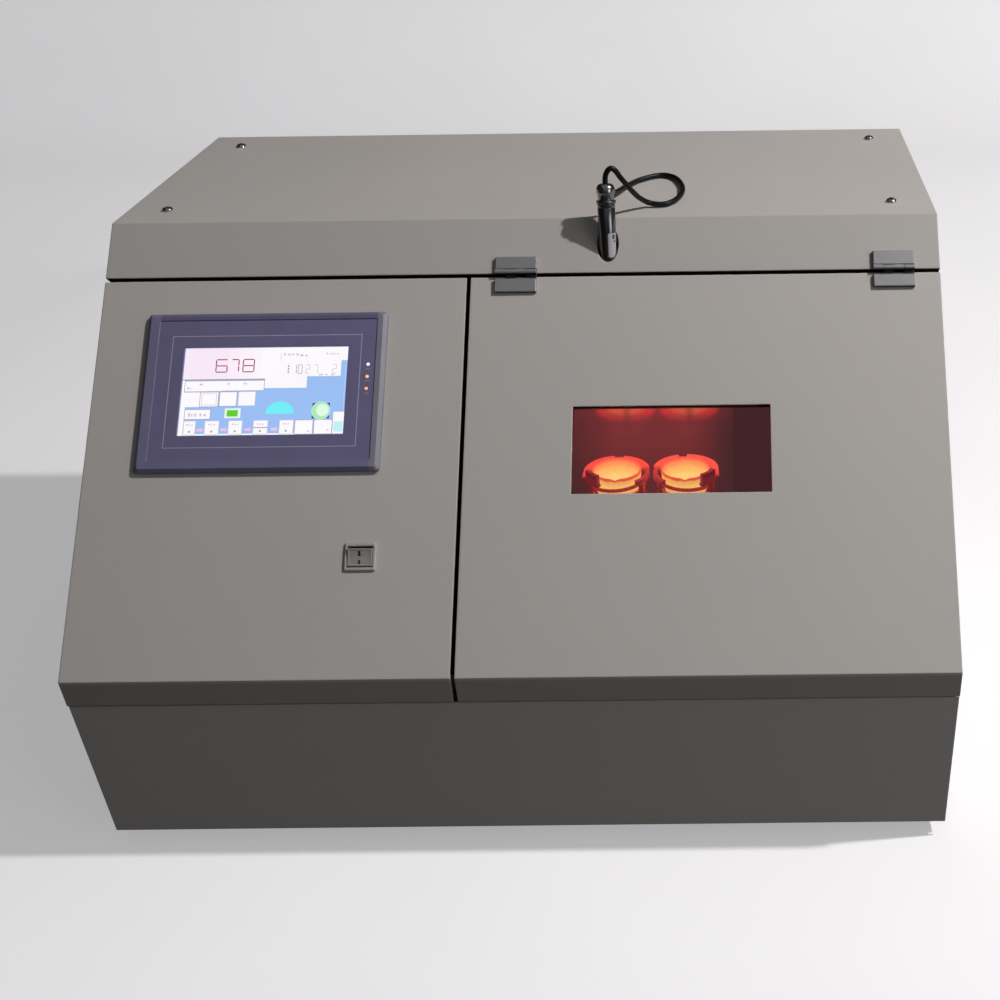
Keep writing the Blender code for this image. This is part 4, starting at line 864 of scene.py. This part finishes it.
for k, (ch, a) in enumerate((("1", 0.660), ("0", 0.695), ("2", 0.742), ("7", 0.790), ("2", 0.905))):
    seg7(ch, a, 0.20, a + 0.028, 0.305, 0.004, "faint" if k > 1 else "edge", 3)
marks(0.82, 0.305, 0.93, 0.328, 3, "faint", 3)
box(0.50, 0.335, 0.755, 0.465, "white", 1.6)
box(0.014, 0.372, 0.25, 0.50, "white", 2, "edge")
box(0.236, 0.372, 0.50, 0.495, "white", 2, "edge")
marks(0.03, 0.44, 0.06, 0.475, 2, "faint", 3)
marks(0.10, 0.40, 0.14, 0.43, 1, "faint", 3)
marks(0.27, 0.40, 0.30, 0.425, 1, "faint", 3)
marks(0.37, 0.392, 0.40, 0.425, 2, "faint", 3)
box(0.0, 0.505, 0.113, 0.67, "white", 2)
box(0.113, 0.50, 0.228, 0.672, "white", 2, "edge")
box(0.124, 0.52, 0.216, 0.652, "white", 3, "faint")
box(0.232, 0.50, 0.340, 0.668, "white", 2, "edge")
box(0.346, 0.50, 0.452, 0.665, "white", 2, "faint")
box(0.028, 0.696, 0.188, 0.812, "white", 2, "edge")
marks(0.05, 0.728, 0.105, 0.785, 3, "faint", 3)
marks(0.118, 0.735, 0.165, 0.782, 2, "faint", 3)
box(0.272, 0.690, 0.368, 0.800, "pale", 2)
box(0.285, 0.710, 0.352, 0.782, "green", 3)
arc = [(0.604 + 0.086 * math.cos(math.pi * k / 24), 0.758 - 0.140 * math.sin(math.pi * k / 24)) for k in range(25)]
poly(list(reversed(arc))[::-1], "cyan", 2)
box(0.800, 0.640, 0.905, 0.815, "dark", 2)
poly([(0.8525 + 0.058 * math.cos(-2 * math.pi * k / 32), 0.7275 + 0.104 * math.sin(-2 * math.pi * k / 32)) for k in range(32)], "sky", 2.6)
poly([(0.8525 + 0.053 * math.cos(-2 * math.pi * k / 32), 0.7275 + 0.096 * math.sin(-2 * math.pi * k / 32)) for k in range(32)], "ball", 3)
poly([(0.862 + 0.038 * math.cos(-2 * math.pi * k / 32), 0.722 + 0.070 * math.sin(-2 * math.pi * k / 32)) for k in range(32)], "ball2", 4)
for x0, x1, two in ((0.030, 0.104, 0), (0.157, 0.246, 0), (0.300, 0.386, 0), (0.450, 0.540, 1), (0.607, 0.694, 0)):
    box(x0, 0.826, x1, 0.988, "white", 2, "faint")
    xm = (x0 + x1) / 2
    marks(xm - 0.022, 0.858, xm + 0.024, 0.882, 3, "faint", 4)
    marks(xm - 0.008, 0.935, xm + 0.010, 0.962, 1, "edge", 4)
    if two:
        box(x0, 0.905, x1, 0.915, "edge", 4)
box(0.0, 0.368, 0.014, 0.505, "white", 1.8)
box(0.0, 0.67, 0.028, 1.0, "white", 1.8)
box(0.0, 0.975, 0.70, 1.0, "white", 1.7)
box(0.700, 0.826, 0.812, 0.992, "white", 2, "edge")
box(0.815, 0.826, 0.928, 0.992, "white", 2, "edge")
marks(0.775, 0.945, 0.800, 0.965, 1, "faint", 4)
marks(0.892, 0.935, 0.918, 0.955, 1, "faint", 4)
for x0 in (0.112, 0.256, 0.402, 0.560):
    box(x0, 0.915, x0 + 0.03, 0.945, "arrow", 3)
    poly([(x0 + 0.026, 0.96), (x0 + 0.040, 0.93), (x0 + 0.026, 0.90)], "arrow", 3.2)
box(0.930, 0.742, 1.0, 0.985, "white", 2)
box(0.936, 0.850, 0.990, 0.965, "aqua", 3)
box(0.985, 0.155, 0.988, 0.75, "sky", 1.4)
piece("hmi_display_picture", ui, UI_MATS, "cabinet", smooth=False)

# thin printed outline on the overlay, indicator lamps and their marks
LINE = print_mat("overlay_line", (0.62, 0.60, 0.72), 0.4)
ol = bmesh.new()
w = 0.55
u0, u1, v0, v1 = -326.4, -148.0, 212.0, 321.2
for q in (rect(u0, u1, v0, v0 + w), rect(u0, u1, v1 - w, v1), rect(u0, u0 + w, v0 + w, v1 - w), rect(u1 - w, u1, v0 + w, v1 - w)):
    prism(q, 5.70, 5.74, ol)
piece("hmi_overlay_outline", ol, LINE, "cabinet", smooth=False)


def lamp(name, u, v, core, halo):
    m = Mat(name + "_lens")
    lw = m.n("LayerWeight")
    lw.inputs["Blend"].default_value = 0.35
    m.set(base_color=rgb(halo), roughness=m.span(m.noise(300.0, 2.0), 0.3, 0.7, 0.15, 0.3), emission_color=m.mix(lw.outputs["Facing"], rgb(core), rgb(halo)), emission_strength=1.0)
    m.done()
    d = (S(0, 0, 1) - S(0, 0, 0)).normalized()
    bm = lathe(S(u, v, 5.70), d, [(0, 0.0), (0, 1.5), (0.25, 1.45), (0.5, 1.05), (0.6, 0.5), (0.62, 0.0)], 32, close=False)
    return piece(name, bm, m.m, "cabinet", S(u, v, 5.7))


lamp("hmi_lamp_power", -141.0, 291.3, (0.95, 1.0, 0.97), (0.30, 0.85, 0.70))
lamp("hmi_lamp_run", -141.2, 279.3, (1.0, 0.62, 0.28), (0.85, 0.20, 0.05))
lamp("hmi_lamp_link", -141.4, 267.6, (1.0, 0.50, 0.26), (0.80, 0.12, 0.04))
lm = bmesh.new()
for v in (286.8, 275.0, 263.0):
    prism(rect(-143.2, -138.8, v - 0.35, v + 0.35), 5.70, 5.73, lm)
piece("hmi_lamp_marks", lm, print_mat("lamp_marks", (0.42, 0.41, 0.50), 0.4), "cabinet", smooth=False)


# =================================================================== switch
def rocker():
    """Rocker with a dished, chamfered face, drawn in its tilted rest position."""
    su, sv, pn = -138.6, 109.6, -2.5
    tilt = math.radians(8)

    def place(u, a, b):
        return S(su + u, sv + a * math.cos(tilt) - b * math.sin(tilt), pn + a * math.sin(tilt) + b * math.cos(tilt))
    bm = bmesh.new()
    rings = []
    hw, ha = 11.3, 8.1
    for (du, da, bb, dish) in ((0.5, 0.7, -3.0, 0.0), (0.0, 0.0, 5.5, 1.0), (0.25, 0.25, 6.0, 1.0), (1.5, 1.4, 6.15, 1.0), (1.9, 1.8, 5.8, 1.0)):
        w_, h_ = hw - du, ha - da
        ring = []
        n = 8
        for k in range(n + 1):
            a = -h_ + 2 * h_ * k / n
            ring.append((w_, a))
        for k in range(n + 1):
            a = h_ - 2 * h_ * k / n
            ring.append((-w_, a))
        rings.append([place(u, a, bb - dish * 0.6 * (1 - abs(a) / ha)) for u, a in ring])
    vr = [[bm.verts.new(p) for p in r] for r in rings]
    m = len(vr[0])
    for a, b in zip(vr[:-1], vr[1:]):
        for i in range(m):
            j = (i + 1) % m
            bm.faces.new((a[i], a[j], b[j], b[i]))
    n = 8
    top = vr[-1]
    for k in range(n):
        bm.faces.new((top[k], top[k + 1], top[m - 2 - k], top[m - 1 - k]))
    # underside, down to the pivot
    low = [place(u, a, -6.6) for u, a in ((hw - 0.8, -3.4), (hw - 0.8, 3.4), (-hw + 0.8, 3.4), (-hw + 0.8, -3.4))]
    lv = [bm.verts.new(p) for p in low]
    base = vr[0]
    bm.faces.new([lv[3], lv[0]] + [base[0], base[m - 1]])
    bm.faces.new([lv[0], lv[1]] + [base[k] for k in range(n, -1, -1)])
    bm.faces.new([lv[1], lv[2]] + [base[n + 1], base[n]])
    bm.faces.new([lv[2], lv[3]] + [base[k] for k in range(m - 1, n, -1)])
    bm.faces.new([lv[3], lv[2], lv[1], lv[0]])
    return piece("switch_rocker_cap", bm, SWITCH_CAP, "switch_rocker", S(su, sv, pn), repl=("switch_rocker",)), place


BLACKINK = print_mat("switch_ink", (0.008, 0.008, 0.008), 0.5)
# the rocker cap is darker than the bezel: partly its own tone, partly painted shade for its down-tilted face
SWITCH_CAP = plastic("switch_cap_plastic", (0.365, 0.345, 0.325), (0.36, 0.48), grain=1100.0)
cap, place = rocker()
mk = bmesh.new()
for (ua, ub, va, vb) in ((-1.7, 0.7, 4.6, 5.8), (-1.4, 0.5, 2.8, 4.6), (-1.6, 0.9, 1.2, 2.8), (-1.4, 0.4, -3.6, -2.4), (-0.9, 0.6, -4.8, -3.6), (-1.5, 0.5, -6.0, -4.8)):
    q = [(ua, va), (ub, va), (ub, vb), (ua, vb)]
    loft([[place(u, a, 5.8 - 0.6 * (1 - abs(a) / 8.1) + h) for u, a in q] for h in (0.0, 0.05)], mk)
piece("switch_marks", mk, BLACKINK, "switch_rocker", S(-138.6, 109.6, -2.5), smooth=False)

# ==================================================================== stage
floor_m = Mat("floor")
lp = floor_m.n("LightPath")
floor_m.set(roughness=0.7, base_color=floor_m.mix(lp.outputs["Is Camera Ray"], rgb((0.06, 0.058, 0.056)), floor_m.ramp(floor_m.noise(3.0, 3.0), [(0.3, (0.80, 0.795, 0.79)), (0.7, (0.84, 0.835, 0.83))])),
            emission_color=rgb((0.98, 0.98, 1.0)), emission_strength=floor_m.math("MULTIPLY", lp.outputs["Is Camera Ray"], 0.36))
floor_m.bump(floor_m.noise(160.0, 3.0), 0.05, 0.0003)
floor_m.done()
fb = bmesh.new()
prof = [(-4.0, 0.0), (1.9, 0.0)] + [(1.9 + 0.9 * math.sin(math.radians(a)), 0.9 - 0.9 * math.cos(math.radians(a))) for a in range(9, 91, 9)] + [(2.8, 5.0)]
rows = []
for xx in (-6.0, 6.0):
    rows.append([fb.verts.new((xx, y, z)) for y, z in prof])
for k in range(len(prof) - 1):
    fb.faces.new((rows[0][k], rows[1][k], rows[1][k + 1], rows[0][k + 1]))
fm = bpy.data.meshes.new("studio_sweep")
fb.to_mesh(fm)
fb.free()
sweep = bpy.data.objects.new("studio_sweep", fm)
bpy.context.scene.collection.objects.link(sweep)
fm.materials.append(floor_m.m)
for p in fm.polygons:
    p.use_smooth = True

# black flag standing off to the left, out of every picture: it keeps stray light off that side
flag_m = Mat("flag_cloth")
flag_m.set(base_color=flag_m.ramp(flag_m.noise(40.0, 3.0), [(0.3, 0.010), (0.7, 0.016)]), roughness=0.9)
flag_m.bump(flag_m.noise(400.0, 2.0), 0.2, 0.0005)
flag_m.done()
gb = bmesh.new()
gb.faces.new([gb.verts.new(p) for p in ((-1.05, -3.0, 0.0), (-1.05, 1.2, 0.0), (-1.05, 1.2, 2.4), (-1.05, -3.0, 2.4))])
gm = bpy.data.meshes.new("studio_flag")
gb.to_mesh(gm)
gb.free()
flag = bpy.data.objects.new("studio_flag", gm)
bpy.context.scene.collection.objects.link(flag)
gm.materials.append(flag_m.m)
flag.visible_camera = False
flag.visible_shadow = False


def light(kind, name, at, energy, colour, size=0.1, aim=None, hidden=True, size_y=None):
    ld = bpy.data.lights.new(name, kind)
    ld.energy = energy
    ld.color = colour
    if kind == "AREA":
        ld.size = size
        if size_y:
            ld.shape = "RECTANGLE"
            ld.size_y = size_y
    else:
        ld.shadow_soft_size = size
    o = bpy.data.objects.new(name, ld)
    bpy.context.scene.collection.objects.link(o)
    o.location = at
    if aim is not None:
        o.rotation_mode = "QUATERNION"
        o.rotation_quaternion = (Vector(aim) - Vector(at)).to_track_quat("-Z", "Y")
    if hidden:
        o.visible_camera = False
    return o


light("POINT", "key", (2.12, -0.13, 2.90), 283.0, (1.0, 0.968, 0.985), 0.055)
light("AREA", "fill_right", (2.8, -2.0, 1.1), 14.0, (0.97, 0.98, 1.0), 1.6, aim=(0.0, 0.0, 0.25))
for x in STATION_X:
    g = light("POINT", "ember_%d" % int(x), (x * MM, -0.062, 0.300), 0.50, (1.0, 0.13, 0.09), 0.018)
    g.visible_glossy = False

world = bpy.data.worlds.new("studio")
bpy.context.scene.world = world
world.use_nodes = True
bg = world.node_tree.nodes["Background"]
bg.inputs["Color"].default_value = (0.97, 0.96, 1.0, 1.0)
wt = world.node_tree
geo = wt.nodes.new("ShaderNodeTexCoord")
sepw = wt.nodes.new("ShaderNodeSeparateXYZ")
mrw = wt.nodes.new("ShaderNodeMapRange")
for k_, v_ in (("From Min", 0.0), ("From Max", 0.8), ("To Min", 0.035), ("To Max", 0.182)):
    mrw.inputs[k_].default_value = v_
wt.links.new(geo.outputs["Generated"], sepw.inputs[0])
wt.links.new(sepw.outputs["Z"], mrw.inputs["Value"])
wt.links.new(mrw.outputs["Result"], bg.inputs["Strength"])

# =================================================================== camera
cam = bpy.data.cameras.new("camera")
cam.sensor_width = 36.0
cam.lens = 43.77485
co = bpy.data.objects.new("camera", cam)
bpy.context.scene.collection.objects.link(co)
right = Vector((0.9999248586, -0.0033062255, -0.0118044889))
down = Vector((-0.0118057011, -0.5190847520, -0.8546412380))
fwd = Vector((-0.0033018935, 0.8547163793, -0.5190847796))
rot = Matrix((right, -down, -fwd)).transposed()
co.rotation_mode = "QUATERNION"
co.rotation_quaternion = rot.to_quaternion()
CAM_AT = (0.197826, -1.125230, 0.919025)
co.location = CAM_AT
cam.clip_start = 0.02
cam.clip_end = 60.0
bpy.context.scene.camera = co


def shift_driver(path, value):
    """The lens shift belongs to the main view only; other views are centred."""
    d = cam.driver_add(path).driver
    d.type = "SCRIPTED"
    v = d.variables.new()
    v.name = "lx"
    v.type = "TRANSFORMS"
    v.targets[0].id = co
    v.targets[0].transform_type = "LOC_X"
    v.targets[0].transform_space = "WORLD_SPACE"
    d.expression = "%.6f if abs(lx - %.6f) < 0.0001 else 0.0" % (value, CAM_AT[0])


shift_driver("shift_x", -0.2272)
shift_driver("shift_y", -0.030847)
bpy.context.scene.view_settings.view_transform = "Standard"
